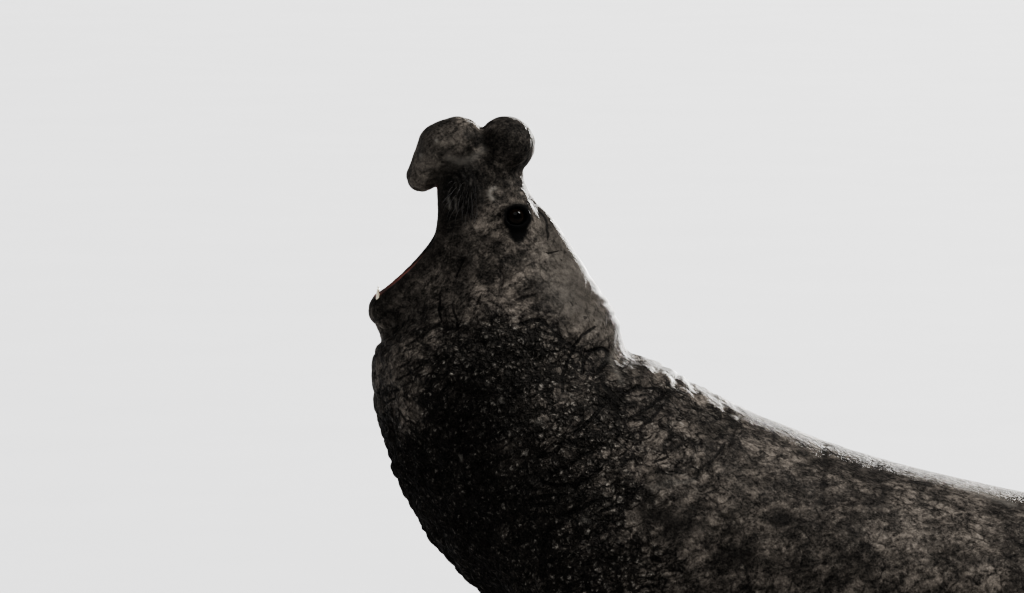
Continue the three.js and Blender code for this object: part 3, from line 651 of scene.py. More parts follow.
# Creases as they run in the side view: half width and depth in millimetres, then pixels along the line.
CREASES = [
    (6, 6, [(598, 492), (612, 489), (626, 485)]),
    (5, 5, [(388, 386), (396, 382)]),
    (5, 5, [(384, 398), (394, 391)]),
    (6, 6, [(532, 487), (543, 486), (552, 487)]),
    (6, 6, [(582, 360), (586, 350), (595, 344)]),
    (6, 5, [(606, 384), (614, 390), (620, 398)]),
    (6, 5, [(640, 412), (652, 404), (662, 394)]),
    (5, 5, [(420, 330), (428, 322), (436, 318)]),
    (5, 5, [(405, 338), (414, 333), (424, 334)]),
    (5, 5, [(452, 300), (456, 310), (455, 318)]),
    (6, 5, [(700, 452), (712, 444), (722, 432)]),
    (7, 7, [(520, 314), (532, 310), (542, 312), (550, 317), (564, 330), (576, 337)]),
    (6, 6, [(576, 337), (584, 326), (595, 321)]),
    (6, 6, [(578, 336), (570, 348), (564, 360), (562, 376)]),
    (7, 7, [(590, 344), (602, 343), (610, 347), (607, 354), (598, 360)]),
    (7, 8, [(604, 370), (611, 378), (618, 386)]),
    (6, 7, [(622, 382), (636, 376), (650, 377), (666, 380)]),
    (6, 6, [(666, 382), (652, 392), (636, 400), (628, 405)]),
    (6, 7, [(573, 418), (586, 408), (598, 396), (604, 390)]),
    (7, 7, [(540, 440), (552, 436), (562, 426), (572, 425)]),
    (7, 8, [(542, 464), (554, 467), (572, 467), (586, 462), (598, 452)]),
    (6, 7, [(550, 456), (564, 450), (580, 438), (592, 435)]),
    (6, 7, [(528, 482), (542, 478), (562, 476)]),
    (7, 8, [(558, 497), (574, 492), (588, 485)]),
    (6, 6, [(382, 410), (379, 424), (380, 438)]),
    (6, 6, [(384, 448), (392, 470), (400, 486)]),
    (5, 5, [(398, 360), (408, 354)]),
    (5, 5, [(399, 371), (410, 363)]),
    (5, 6, [(652, 446), (664, 442)]),
    (6, 3, [(727, 434), (732, 424), (738, 414)]),
    (14, 4, [(824, 446), (823, 462), (819, 478), (818, 488)]),
    (13, 2, [(806, 442), (802, 456), (796, 470)]),
    (12, 2, [(875, 460), (872, 472), (864, 490)]),
    (12, 2, [(762, 420), (757, 430), (750, 446)]),
    (5, 6, [(530, 196), (540, 208), (547, 222), (549, 233)]),
    (4, 6, [(464, 254), (460, 262), (456, 270)]),
    (4, 6, [(439, 292), (438, 303), (440, 312)]),
    (4, 5, [(480, 288), (476, 296)]),
    (4, 6, [(548, 248), (557, 247)]),
    (4, 3, [(498, 262), (503, 270), (500, 280)]),
    (4, 3, [(504, 176), (506, 190)]),
    (5, 4, [(524, 282), (531, 279)]),
    (6, 5, [(516, 292), (525, 289), (533, 287)]),
]
# Painted shade in folds and low on the flank: soft dark ovals, in pixels too.
SHADE_IN_FOLDS = [
    (822, 462, 7, 26), (856, 476, 14, 18), (778, 500, 14, 14), (733, 424, 7, 18), (800, 460, 5, 18),
    (614, 384, 16, 14), (664, 506, 46, 17), (529, 285, 10, 8), (486, 330, 22, 12), (708, 440, 5, 16),
    (672, 432, 18, 4), (880, 478, 8, 20), (950, 540, 30, 8), (740, 530, 30, 14),
]
# Pale scars, warts, painted highlights on the lip and along the top edge of the back, and the light band
# below the front lobe: half width, strength, pixels along the line.
PALE_MARKS = [
    (5, 0.9, [(495, 184), (490, 187), (489, 191), (493, 195)]),
    (5, 0.8, [(436, 137), (437, 138)]),
    (5, 0.7, [(420, 153), (421, 154)]),
    # painted highlights on the lip
    (4, 0.6, [(448, 195), (450, 205)]),
    (4, 0.6, [(455, 195), (456, 206)]),
    (11, 0.42, [(449, 156), (460, 159), (472, 156), (483, 147)]),
    (5, 0.5, [(402, 258), (408, 262)]),
    (5, 0.6, [(534, 408), (540, 405)]),
    (5, 0.9, [(459, 445), (460, 445)]),
    (4, 0.7, [(497, 389), (501, 385)]),
    (8, 0.5, [(581, 500), (584, 500)]),
    # painted highlight along the top edge of the back
    (8, 0.4, [(955, 480), (985, 489), (1012, 498)]),
    (7, 0.35, [(622, 372), (610, 352), (616, 346)]),
    (8, 0.25, [(648, 470), (664, 466), (690, 464)]),
]


def beside_line(x, z, pixels):
    """Distance in the side view to a line through pixels, by its side, and how far past the line's ends."""
    places = [photo_place(*pixel) for pixel in pixels]
    best, signed, past = (np.full(x.shape, v) for v in (np.inf, np.inf, 0.0))
    spans = list(zip(places[:-1], places[1:]))
    for n, ((ax, az), (bx, bz)) in enumerate(spans):
        ex, ez = bx - ax, bz - az
        share = ((x - ax) * ex + (z - az) * ez) / (ex**2 + ez**2)
        t = np.clip(share, 0, 1)
        dx, dz = x - ax - ex * t, z - az - ez * t
        d = np.hypot(dx, dz)
        before, after = -share if n == 0 else 0, share - 1 if n == len(spans) - 1 else 0
        over = np.maximum(before, after) * math.hypot(ex, ez)
        nearer = d < best
        best = np.where(nearer, d, best)
        signed = np.where(nearer, d * np.sign(ex * dz - ez * dx), signed)
        past = np.where(nearer, np.maximum(over, 0), past)
    return signed, past


def grouped(creases, apart=24):
    """Sorts creases into groups that lie so many pixels apart: each goes to the first clear group, or else
    to the one that is farthest from it."""
    groups = [[] for _ in range(CREASE_GROUPS)]
    for line in creases:
        own = np.array(line[2])[:, None]
        far = []
        for group in groups:
            others = [np.linalg.norm(own - np.array(other[2])[None], axis=2).min() for other in group]
            far.append(min(others + [apart * 9]))
        clear = [n for n, d in enumerate(far) if d > apart]
        groups[clear[0] if clear else int(np.argmax(far))].append(line)
    return groups


def lines_of(p):
    """For each group of creases: how many half widths off the nearest one a point lies, and its nearness."""
    x, y, z = p.T
    wobble = sway(p, *LINE_SWAY)
    found = {}
    for n, group in enumerate(grouped(CREASES)):
        off, near = np.full(len(p), FAR_OFF), np.zeros(len(p))
        for width, depth, pixels in group:
            signed, past = beside_line(x + wobble, z + wobble, pixels)
            own = min(depth / FULL_DEPTH, 1) * band("beside_crease", np.abs(signed))
            own = own * band("past_crease", past) * band("off_middle", np.abs(y))
            off = np.where(own > near, signed / width, off)
            near = np.maximum(near, own)
        found[f"line_{n}"], found[f"near_line_{n}"] = np.clip(off, -FAR_OFF, FAR_OFF), near
    return found


def spot(p, px, py, across, up, soft=0.4):
    """A soft oval mark in the side view: 1 inside, 0 outside."""
    x, z = photo_place(px, py)
    far = np.hypot((p[:, 0] - x) / (across * PIXEL), (p[:, 2] - z) / (up * PIXEL))
    return 1 - smooth_step(far, 1 - soft, 1 + soft)


shield_x, shield_z = np.array([photo_place(*s) for s in SHIELD_TOP]).T


# Sways of lines and edges: size, amount and seed.
EDGE_SWAYS = [(190, 200, 5), (70, 90, 6), (30, 40, 8)]
LINE_SWAY = (40, 12, 82)
CREASE_SWAY = (40, 12, 81)
BACK_SWAY = (260, 150, 71)
NAPE_SWAY = (110, 90, 73)
THROAT_SWAY = (140, 120, 74)
PAD_SWAY = (46, 18, 75)


def masks_of(p):
    """Where each kind of skin lies, from 0 to 1."""
    x, y, z = p.T
    side = np.abs(y)
    off_middle = band("off_middle", side)
    drift = sum(sway(p, *one) for one in EDGE_SWAYS)
    top = np.interp(x, shield_x, shield_z)
    shield = smooth_step(z + drift * 0.9, top + 150, top - 130) * band("shield_rear", x + drift * 1.6)
    nape = 0.8 * band("light_nape_front", x) * band("light_nape_foot", z) * band("light_nape_side", side)
    # painted light: the shield eased on the upper throat
    shield = shield * (1 - nape) * (1 - 0.7 * spot(p, *THROAT_PAINTED_LIGHT, 0.6))
    # deep: the breast below the shield's edge, darker downwards; partly the hide's own dark tone, partly
    # painted shade on its underside
    deep = smooth_step(z + drift * 1.2, top - 10, top - 260) * band("deep_rear", x + drift * 1.4)
    deep = np.maximum(deep, band("breast_rear", x + z * 0.3 + drift) * band("breast_top", z + drift))
    # painted light: the dark breast eased on the upper throat
    deep = deep * (1 - 0.95 * spot(p, *THROAT_CORE_PAINTED_LIGHT, 0.5) * smooth_step(noise(p, 90, 9), 0.0, 0.4))
    pad = np.maximum.reduce([share * spot(p, *oval, 0.45) for share, *oval in PAD_OVALS])
    pad = pad * band("pad_side", side)
    eye = np.maximum(spot(p, *EYE_OVAL, 0.1), spot(p, *EYE_CORNER, 0.15)) * band("eye_side", side)
    neck = smooth_step(z + drift * 0.5, top - 40, top + 150) * band("neck_front", x) * band("neck_top", z)
    neck = np.maximum(neck, 0.45 * spot(p, *NOSE_FRONT) * band("nose_side", side))
    joint = sum(share * spot(p, *oval) for share, *oval in LOBE_JOINT)
    hand = sum(band("hand_edge", flipper(x, side, z, plate)) for plate in (FORE, HIND))
    lining = np.minimum.reduce([mass_field(x, side, z, kind, sizes) for kind, sizes, _ in MOUTH])
    nose = np.minimum.reduce([mass_field(x, side, z, kind, sizes) for kind, sizes, _ in NOSE[:2]])
    lip = lips(x, side, z)
    mouth = band("lining_edge", lining) * band("inside_lips", lip) * band("off_nose", nose)
    # painted shade in the folds and under the flank, broken up by noise
    folds = np.maximum.reduce([spot(p, *oval, 0.7) for oval in SHADE_IN_FOLDS])
    folds = folds * smooth_step(noise(p, 44, 14), 0.3, 0.65) * off_middle
    pale = np.zeros(len(p))
    for width, strength, pixels in PALE_MARKS:
        near = np.abs(beside_line(x, z, pixels)[0])
        pale = np.maximum(pale, strength * np.exp(-((near / width) ** 2)) * off_middle)
    joint, hand = np.clip(joint, 0, 1), np.clip(hand, 0, 1)
    return dict(shield=shield, deep=deep, pad=pad, eye_patch=eye, light_neck=neck, pale=pale, folds=folds,
                joint=joint, hand=hand, mouth=mouth, lip=band("lip_edge", lip) * (1 - mouth))


# Patterns of cobbles: size, amount and seed of their warp, then their own size, steepness and seed.
LARGE_COBBLES = ((130, 30, 11), 92, 2.2, 21)
SMALL_COBBLES = ((50, 10, 31), 44, 2.0, 41)
FURROWS = ((90, 16, 51), 58, 2.4, 61)
NOSE_COBBLES = ((60, 14, 76), 52, 2.4, 77)
CHEEK_COBBLES = ((70, 20, 78), 62, 2.0, 79)
FURROW_TURN = math.radians(28)
FURROW_STRETCH = 3.2
# Rolls of the skin: spacing, sharpness and depth.
BACK_ROLLS = (96, 3, 5)
NAPE_ROLLS = (52, 2, 6)
THROAT_ROLLS = (62, 3, 6)
PAD_ROLLS = (25, 2, 4.5)
NAPE_CENTRE = (430, 1040)
BACK_SLANT = 0.35
THROAT_SLANT = 0.5
CREASE_SPREAD = 1.6  # how much wider a crease is in the relief than in the finish
SIDES_APART = 900  # so that the two sides get patterns of their own
# Depths between cobbles, and of the body's slow waves.
SMALL_DEPTH = 5.5
FURROW_DEPTH = 7
NOSE_DEPTH = 2.2
CHEEK_DEPTH = 3
WAVE_DEPTH = 7


def gaps(p, warp, size, steepness, seed):
    """1 on the borders between the cobbles of warped points, falling to 0 inside them."""
    return 1 - np.clip(cobbles(warped(p, *warp), size, seed) * steepness, 0, 1)


def rolls(at, spacing, sharpness, depth):
    """Waves from 0 to the depth: half of 1 plus the cosine of the place over the spacing, to a power."""
    return (0.5 + 0.5 * np.cos(at * (2 * math.pi / spacing))) ** sharpness * depth


def relief_of(p, masks):
    """Height of the skin against the smooth form, never above 0, and where its pits lie."""
    x, y, z = p.T
    side = np.abs(y)
    apart = np.stack([x, y + SIDES_APART, z], axis=1)
    shield, deep = masks["shield"], masks["deep"]
    large, small = gaps(apart, *LARGE_COBBLES), gaps(apart, *SMALL_COBBLES)
    rough = np.clip(shield + 0.5 * deep, 0, 1)
    cut = large * (4 + 6 * rough) * np.clip(0.12 + rough, 0, 1) + small * SMALL_DEPTH * rough
    # long diagonal furrows on the flank
    c, s = math.cos(FURROW_TURN), math.sin(FURROW_TURN)
    streak = np.stack([(x * c + z * s) / FURROW_STRETCH, side * 0.5 + y * 0.05 + 700, z * c - x * s], axis=1)
    flank = band("flank_front", x) * band("flank_rear", x) * band("flank_top", z)
    cut = cut + gaps(streak, *FURROWS) * FURROW_DEPTH * flank
    # cross folds of the back, loose rolls round the nape, and soft folds across the throat
    back = band("back_front", x) * band("back_rear", x)
    patches = smooth_step(noise(apart, 300, 72), 0.42, 0.7)
    cut = cut + rolls(x + BACK_SLANT * z + sway(apart, *BACK_SWAY), *BACK_ROLLS) * back * patches
    nape_far = np.hypot(x - NAPE_CENTRE[0], z - NAPE_CENTRE[1]) + sway(apart, *NAPE_SWAY)
    cut = cut + rolls(nape_far, *NAPE_ROLLS) * (band("nape_reach", nape_far) * band("nape_foot", z))
    throat = band("throat_rear", x) * band("throat_top", z) * band("throat_foot", z)
    cut = cut + rolls(z + THROAT_SLANT * x + sway(apart, *THROAT_SWAY), *THROAT_ROLLS) * throat
    # curved wrinkles of the whisker pad, and fine ones round the nose and on the cheek
    ring = np.hypot(x - PAD_PLACE[0], z - PAD_PLACE[1]) + sway(apart, *PAD_SWAY)
    cut = cut + rolls(ring, *PAD_ROLLS) * masks["pad"]
    nose = band("nose_foot", z)
    cut = cut + gaps(apart, *NOSE_COBBLES) * NOSE_DEPTH * nose
    cheek = band("cheek_foot", z) * (1 - nose) * band("cheek_rear", x)
    cut = cut + gaps(apart, *CHEEK_COBBLES) * CHEEK_DEPTH * cheek
    # creases that the side view shows, and slow waves of the body
    wobble = sway(apart, *CREASE_SWAY)
    for width, depth, pixels in CREASES:
        near = np.abs(beside_line(x + wobble, z + wobble, pixels)[0])
        cut = cut + depth * np.exp(-((near / width / CREASE_SPREAD) ** 2)) * band("off_middle", side)
    waves = (1 - noise(apart, 340, 91)) * WAVE_DEPTH
    cut = cut + waves * (1 - masks["hand"]) * band("body_front", x)
    keep = (1 - masks["mouth"]) * (1 - 0.8 * masks["eye_patch"]) * band("off_floor", z)
    cut = cut * keep * (1 - 0.7 * masks["lip"]) * (1 - 0.8 * masks["hand"])
    return -cut, np.clip(1 - (1 - large) * (1 - small), 0, 1) * rough


masks = masks_of(points)
creased = lines_of(points)
relief, pits = relief_of(points, masks)
points = points + normals * relief[:, None]
points[:, 2] = np.maximum(points[:, 2], CLEAR_OF_FLOOR)


def in_frame(p):
    """Points from the maker's frame in millimetres to the floor's origin in metres."""
    return (np.asarray(p, float) - (SHIFT, 0, 0)) * MM


def new_piece(name, p, faces, finish, nodes=(), slot=None, **attributes):
    """A piece with its mesh in place, smooth, with a value at each point for each named attribute."""
    mesh = bpy.data.meshes.new(name)
    mesh.from_pydata(np.asarray(p, float).tolist(), [], np.asarray(faces).tolist())
    for key, values in attributes.items():
        mesh.attributes.new(key, "FLOAT", "POINT").data.foreach_set("value", np.asarray(values, np.float32))
    mesh.validate()
    mesh.shade_smooth()
    mesh.materials.append(finish)
    piece = bpy.data.objects.new(name, mesh)
    bpy.context.scene.collection.objects.link(piece)
    if slot:
        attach(piece, "root")
        if nodes:
            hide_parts(*nodes)
    return piece


# Finishes


class Value:
    """A shader socket that can be written in sums: each operator adds its Math node."""

    def __init__(self, socket):
        self.socket = socket

    def math(self, operation, a, b=0):
        return add_node(self.socket.id_data, "ShaderNodeMath", dict(operation=operation), (a, b))

    def __add__(self, other):
        return self.math("ADD", self, other)

    def __mul__(self, other):
        return self.math("MULTIPLY", self, other)

    def __sub__(self, other):
        return self.math("SUBTRACT", self, other)

    def __rsub__(self, other):
        return self.math("SUBTRACT", other, self)

    __radd__ = __add__
    __rmul__ = __mul__


def add_node(tree, kind, settings=(), sockets=(), output=0):
    """Adds a node: its settings first, then the values or links of its sockets, by number or by name."""
    node = tree.nodes.new(kind)
    for key, value in dict(settings).items():
        setattr(node, key, value)
    for key, value in (sockets.items() if isinstance(sockets, dict) else enumerate(sockets)):
        if isinstance(value, Value):
            tree.links.new(value.socket, node.inputs[key])
        else:
            node.inputs[key].default_value = value
    return Value(node.outputs[output])


# A colour mix's sockets go by their numbers, because several have the same name.
MIX_SHARE, MIX_FIRST, MIX_SECOND, MIX_RESULT = 0, 6, 7, 2


class Finish:
    """One material: the nodes that its maker calls for, and the shader that they feed."""

    def __init__(self, name, **constants):
        self.material = bpy.data.materials.new(name)
        self.material.use_nodes = True
        self.tree = self.material.node_tree
        self.shader = self.tree.nodes["Principled BSDF"]
        for key, value in constants.items():
            self.shader.inputs[key.replace("_", " ")].default_value = value
        self.place = self.node("ShaderNodeTexCoord", output="Object")

    def node(self, kind, settings=(), sockets=(), output=0):
        return add_node(self.tree, kind, settings, sockets, output)

    def attributes(self, *names):
        """The mesh's own values of those names."""
        return [self.node("ShaderNodeAttribute", dict(attribute_name=name), output="Fac") for name in names]

    def noise(self, size, detail=3, place=None, output="Fac", rough=0.55):
        """Smooth random values from 0 to 1, of a size in millimetres."""
        scale = 1 / (size * MM)
        sockets = {"Vector": place or self.place, "Scale": scale, "Detail": detail, "Roughness": rough}
        return self.node("ShaderNodeTexNoise", (), sockets, output)

    def warped(self, size, amount, place=None):
        """Places pushed about by smooth noise, by as much as the amount in millimetres each way."""
        push = self.noise(size, 2, place, output="Color")
        near = self.node("ShaderNodeVectorMath", dict(operation="SUBTRACT"), (push, (0.5, 0.5, 0.5)))
        sockets = (near, (2 * amount * MM,) * 3, place or self.place)
        return self.node("ShaderNodeVectorMath", dict(operation="MULTIPLY_ADD"), sockets)

    def stretched(self, turn, factors, place=None):
        """Places divided by factors along axes that are turned in the side view."""
        sockets = {"Vector": place or self.place, "Rotation": (0, -math.radians(turn), 0), "Scale": factors}
        return self.node("ShaderNodeMapping", dict(vector_type="TEXTURE"), sockets)

    def edges(self, size, place):
        """Distance to the nearest border of a random pattern's cells, as a share of their size."""
        sockets = {"Vector": place, "Scale": 1 / (size * MM)}
        return self.node("ShaderNodeTexVoronoi", dict(feature="DISTANCE_TO_EDGE"), sockets)

    def step(self, value, low, high):
        """0 below low and 1 above high, eased between."""
        sockets = {"Value": value, "From Min": low, "From Max": high}
        return self.node("ShaderNodeMapRange", dict(interpolation_type="SMOOTHSTEP"), sockets)

    def mix(self, share, a, b, blend="MIX"):
        """The first colour with a share of the second."""
        a, b = (v if isinstance(v, Value) else (*v, 1) for v in (a, b))
        settings = dict(data_type="RGBA", blend_type=blend, clamp_factor=True)
        sockets = {MIX_SHARE: share, MIX_FIRST: a, MIX_SECOND: b}
        return self.node("ShaderNodeMix", settings, sockets, MIX_RESULT)

    def laid(self, base, *layers):
        """A colour with others laid over it in turn, each by its share."""
        for share, tone in layers:
            base = self.mix(share, base, tone)
        return base

    def feed(self, **sockets):
        """Links values to the shader's own sockets."""
        for key, value in sockets.items():
            self.tree.links.new(value.socket, self.shader.inputs[key.replace("_", " ")])

    def bump(self, height):
        """Height in millimetres."""
        self.feed(Normal=self.node("ShaderNodeBump", (), {"Height": height, "Distance": MM, "Strength": 1.0}))


# Tones of the hide, in linear red, green and blue, in the order in which they are laid on.
COAT_TONES = (0.0216, 0.0186, 0.0156), (0.082, 0.071, 0.06)
DARK_BLOTCH = (0.0132, 0.0114, 0.0096)
PALE_FLECK = (0.09, 0.0798, 0.0678)
NECK_TONES = (0.06, 0.0528, 0.0444), (0.099, 0.0888, 0.0762)
NECK_FLECK = (0.045, 0.0396, 0.0336)
SPOT_TONE = (0.0108, 0.009, 0.0078)
SHIELD_TONE = (0.018, 0.0156, 0.0132)
# partly the breast's own dark tone, partly painted shade low on the breast
DARK_AND_SHADED_BREAST_TONE = (0.0036, 0.0031, 0.0027)
# painted highlight: the pale glint laid on the tips of the breast's cobbles
GLINT_TONE = (0.18, 0.166, 0.146)
PAD_TONE = (0.0024, 0.0021, 0.0018)
PAD_ARC = (0.07, 0.064, 0.056)
JOINT_TONE = (0.0084, 0.0072, 0.006)
# partly the dark lines of the hide itself, partly painted shade in its cracks
CRACK_DARK_AND_SHADE_TONE = (0.004, 0.0035, 0.003)
# painted shade in creases and in the pits between cobbles
CREASE_SHADE_TONE = (0.003, 0.0026, 0.0023)
# painted shade in folds and under the flank
FOLD_SHADE_TONE = (0.006, 0.0052, 0.0045)
# pale scars and warts, and painted highlights on the lip and the back's edge
SCAR_AND_HIGHLIGHT_TONE = (0.16, 0.148, 0.13)
HAND_TONE = (0.012, 0.0102, 0.009)
LIP_TONE = (0.012, 0.0096, 0.0084)
DUST_TONE = (0.12, 0.108, 0.093)
MOUTH_TONES = (0.2, 0.07, 0.058), (0.3, 0.125, 0.1)
EYE_PATCH_TONE = (0.0025, 0.0022, 0.002)
# Tones of the smaller pieces and the floor, dark before light.
PUPIL_TONE = (0.002, 0.002, 0.002)
IRIS_TONES = (0.004, 0.0025, 0.0015), (0.012, 0.007, 0.004)
EYE_RIM_TONE = (0.006, 0.004, 0.0035)
TOOTH_TONES = (0.3, 0.2, 0.1), (0.68, 0.6, 0.45)
TONGUE_TONES = (0.33, 0.12, 0.1), (0.46, 0.21, 0.18)
CLAW_TONES = (0.035, 0.027, 0.022), (0.12, 0.09, 0.07)
WHISKER_TONES = (0.008, 0.007, 0.006), (0.02, 0.017, 0.014)
FLOOR_TONES = (0.62, 0.62, 0.62), (0.68, 0.68, 0.68)

PAD_CENTRE = tuple(in_frame([PAD_PLACE[0], 0, PAD_PLACE[1]]))
ARC_SPACING = 22  # millimetres between the pale arcs of the whisker pad


def hide_finish():
    """Short coat over leather: mottled, darkest on the breast and by the eye, with painted shade in creases,
    folds and low on the breast, and painted glints and highlights; a wet mouth.
    """
    f = Finish("seal_hide", Specular_IOR_Level=0.1)
    shield, deep, pad, patch, neck = f.attributes("shield", "deep", "pad", "eye_patch", "light_neck")
    joint, hand, mouth, lip = f.attributes("joint", "hand", "mouth", "lip")
    pale, folds, pits = f.attributes("pale", "folds", "pits")
    bent = f.warped(110, 34, f.warped(40, 9))
    fine = f.warped(32, 8)
    cells_wide = f.edges(52, bent)
    cells = f.edges(24, f.warped(55, 16))
    cells_fine = f.edges(11, fine)
    furrows = f.edges(26, f.stretched(30, (3.4, 1.0, 1.0), bent))
    hair_lines = f.noise(9, 2, f.stretched(24, (5.0, 1.0, 1.0), fine))
    mottle = f.noise(170, 6, rough=0.68)
    blotch = f.noise(52, 5, bent, rough=0.62)
    flecks = f.noise(17, 4, fine, rough=0.7)
    strokes = f.noise(30, 4, f.stretched(30, (3.0, 1.0, 1.0), bent), rough=0.62)
    dabs = f.noise(14, 3, fine, rough=0.6)
    patchy = f.step(f.noise(120, 3), 0.38, 0.62)
    grain = f.noise(6, 3, rough=0.7)
    hairs = f.noise(2.4, 2)
    rough = f.step(shield + deep * 0.6 + (blotch - 0.5) * 1.3, 0.1, 0.95)
    # Cracks at the cells' borders, sunk by the bump too: laid dark, partly as the hide's own dark lines and
    # partly as painted shade in them.
    crack_wide = 1 - f.step(cells_wide, 0.0, 0.12)
    crack = 1 - f.step(cells, 0.0, 0.2)
    crack_fine = 1 - f.step(cells_fine, 0.0, 0.24)
    crack_streak = 1 - f.step(furrows, 0.0, 0.15)
    cracks = crack_wide * (0.55 + rough * 0.5) * patchy
    cracks = cracks + crack * (0.2 + rough * 0.8) * f.step(blotch, 0.38, 0.58)
    cracks = cracks + crack_fine * rough * 0.5 + crack_streak * (0.4 + shield * 0.3) * (1 - patchy * 0.6)
    # Painted shade: creases and the pits between the cobbles, sunk in the relief, are darkened in colour too.
    grooves = pits * 0.35
    for n in range(CREASE_GROUPS):
        off, near = f.attributes(f"line_{n}", f"near_line_{n}")
        grooves = grooves + (1 - f.step(off.math("ABSOLUTE", off), 0.2, 1.3)) * near
    light = f.mix(f.step(mottle, 0.3, 0.7), *NECK_TONES)
    # Painted glints: the middles of the rough breast's cells are lightened where they would catch the light.
    glint_tips = f.step(cells, 0.05, 0.3) * f.step(flecks, 0.46, 0.62) * rough
    off_pad = f.node("ShaderNodeVectorMath", dict(operation="MULTIPLY"), (f.place, (1, 0, 1)))
    off_pad = f.node("ShaderNodeVectorMath", dict(operation="DISTANCE"), (off_pad, PAD_CENTRE), "Value")
    turns = off_pad * (2 * math.pi / (ARC_SPACING * MM)) + f.noise(30, 2) * 7
    arcs = f.step(turns.math("SINE", turns), 0.2, 0.9) * f.step(flecks, 0.4, 0.6)
    coat = f.laid(
        f.mix(f.step(mottle, 0.38, 0.62), *COAT_TONES),
        (f.step(blotch, 0.47, 0.66) * 0.7, DARK_BLOTCH),
        (f.step(flecks, 0.5, 0.68) * 0.5, PALE_FLECK),
        (neck * 0.85, f.mix(f.step(flecks, 0.35, 0.7) * 0.5, light, NECK_FLECK)),
        (f.step(f.noise(24, 1), 0.67, 0.73) * 0.7, SPOT_TONE),
        (rough * 0.3, SHIELD_TONE),
        # partly painted shade: the low breast laid darker
        (deep * 0.86, DARK_AND_SHADED_BREAST_TONE),
        (glint_tips * (0.9 - deep * 0.45), GLINT_TONE),
        (pad * 0.97, PAD_TONE),
        (arcs * pad * 0.28, PAD_ARC),
        (joint * 0.7, JOINT_TONE),
        (f.step(cracks, 0.0, 1.0) * (0.9 - neck * 0.55), CRACK_DARK_AND_SHADE_TONE),
        (f.step(grooves, 0.08, 0.9) * 0.92, CREASE_SHADE_TONE),
    )
    shade = f.step(strokes, 0.4, 0.6) * 0.7 + f.step(dabs, 0.4, 0.62) * 0.6
    shade = shade + f.step(grain, 0.35, 0.65) * 0.5 + 0.12
    coat = f.laid(
        f.mix(1 - neck * 0.75, coat, shade * 1.25, "MULTIPLY"),
        (folds * 0.75, FOLD_SHADE_TONE),
        (pale, SCAR_AND_HIGHLIGHT_TONE),
        (hand * 0.7, HAND_TONE),
        (lip * 0.6, LIP_TONE),
        (f.step(grain, 0.35, 0.75) * 0.12, DUST_TONE),
        (mouth, f.mix(f.step(blotch, 0.35, 0.65), *MOUTH_TONES)),
        (patch, EYE_PATCH_TONE),
    )
    wet = f.step(f.noise(90, 3), 0.35, 0.7)
    roughness = 0.72 - wet * 0.14 + hairs * 0.12 - mouth * 0.44 + deep * 0.12
    f.feed(Base_Color=coat, Roughness=roughness)
    # height of the coat and its cobbles, in millimetres
    height = f.step(cells_wide, 0.0, 0.3) * (0.8 + rough * 4.0)
    height = height + f.step(cells, 0.0, 0.32) * (0.5 + rough * 3.4)
    height = height + f.step(cells_fine, 0.0, 0.35) * (0.15 + rough * 1.7)
    height = height + f.step(furrows, 0.0, 0.24) * (0.9 + shield * 2.2) + blotch * (1.5 + rough * 5.0)
    height = height + hair_lines * (0.5 + rough * 1.2) + flecks * 1.2
    height = height + grain * 0.8 + hairs * 0.3 - grooves * 3
    height = height * (1 - patch * 0.75) * (1 - mouth * 0.6) * (1 - neck * 0.45)
    f.bump(height)
    return f.material


def eye_finish():
    """Wet, nearly black eye with a dark brown iris: colour by how far round from the pupil a place lies."""
    f = Finish("seal_eye", Coat_Weight=0.06, Coat_Roughness=0.03, Specular_IOR_Level=0.06)
    ring, = f.attributes("from_pupil")
    rays = f.noise(2.2, 2)
    iris = f.mix(f.step(rays, 0.3, 0.7), *IRIS_TONES)
    colour = f.mix(f.step(ring, 0.34, 0.4), PUPIL_TONE, iris)
    colour = f.mix(f.step(ring, 0.72, 0.82), colour, EYE_RIM_TONE)
    f.feed(Base_Color=colour, Roughness=0.12 + rays * 0.06)
    return f.material


def tooth_finish():
    """Worn ivory, brown at the root."""
    f = Finish("seal_tooth", Coat_Weight=0.4)
    root, = f.attributes("from_root")
    stain = f.noise(9, 4)
    colour = f.mix(f.step(root + stain * 0.3, 0.2, 0.75), *TOOTH_TONES)
    f.feed(Base_Color=colour, Roughness=0.28 + stain * 0.2)
    f.bump(f.noise(3, 3) * 0.3)
    return f.material


def tongue_finish():
    """Wet pink flesh with small bumps."""
    f = Finish("seal_tongue", Coat_Weight=0.5, Coat_Roughness=0.15)
    blotch, bumps = f.noise(30, 4), f.edges(5, f.warped(12, 2))
    colour = f.mix(f.step(blotch, 0.3, 0.7), *TONGUE_TONES)
    f.feed(Base_Color=colour, Roughness=0.32 + blotch * 0.2)
    f.bump(f.step(bumps, 0.0, 0.4) * 0.8 + blotch * 1.5)
    return f.material


def horn_finish(name, tones):
    """Horn with streaks, longest upwards."""
    f = Finish(name)
    streaks = f.noise(4, 4, f.stretched(0, (1.0, 1.0, 6.0)))
    f.feed(Base_Color=f.mix(f.step(streaks, 0.35, 0.65), *tones), Roughness=0.35 + streaks * 0.25)
    f.bump(streaks * 0.4)
    return f.material


HIDE = hide_finish()
EYE = eye_finish()
TOOTH = tooth_finish()
TONGUE_FLESH = tongue_finish()
CLAW_HORN = horn_finish("claw_horn", CLAW_TONES)
WHISKER_HORN = horn_finish("whisker_horn", WHISKER_TONES)

# Pieces

fleshy = [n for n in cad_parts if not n.startswith(("eye", "tongue"))]
new_piece("skin", in_frame(points), quads, HIDE, fleshy, "hide", pits=pits, **creased, **masks)


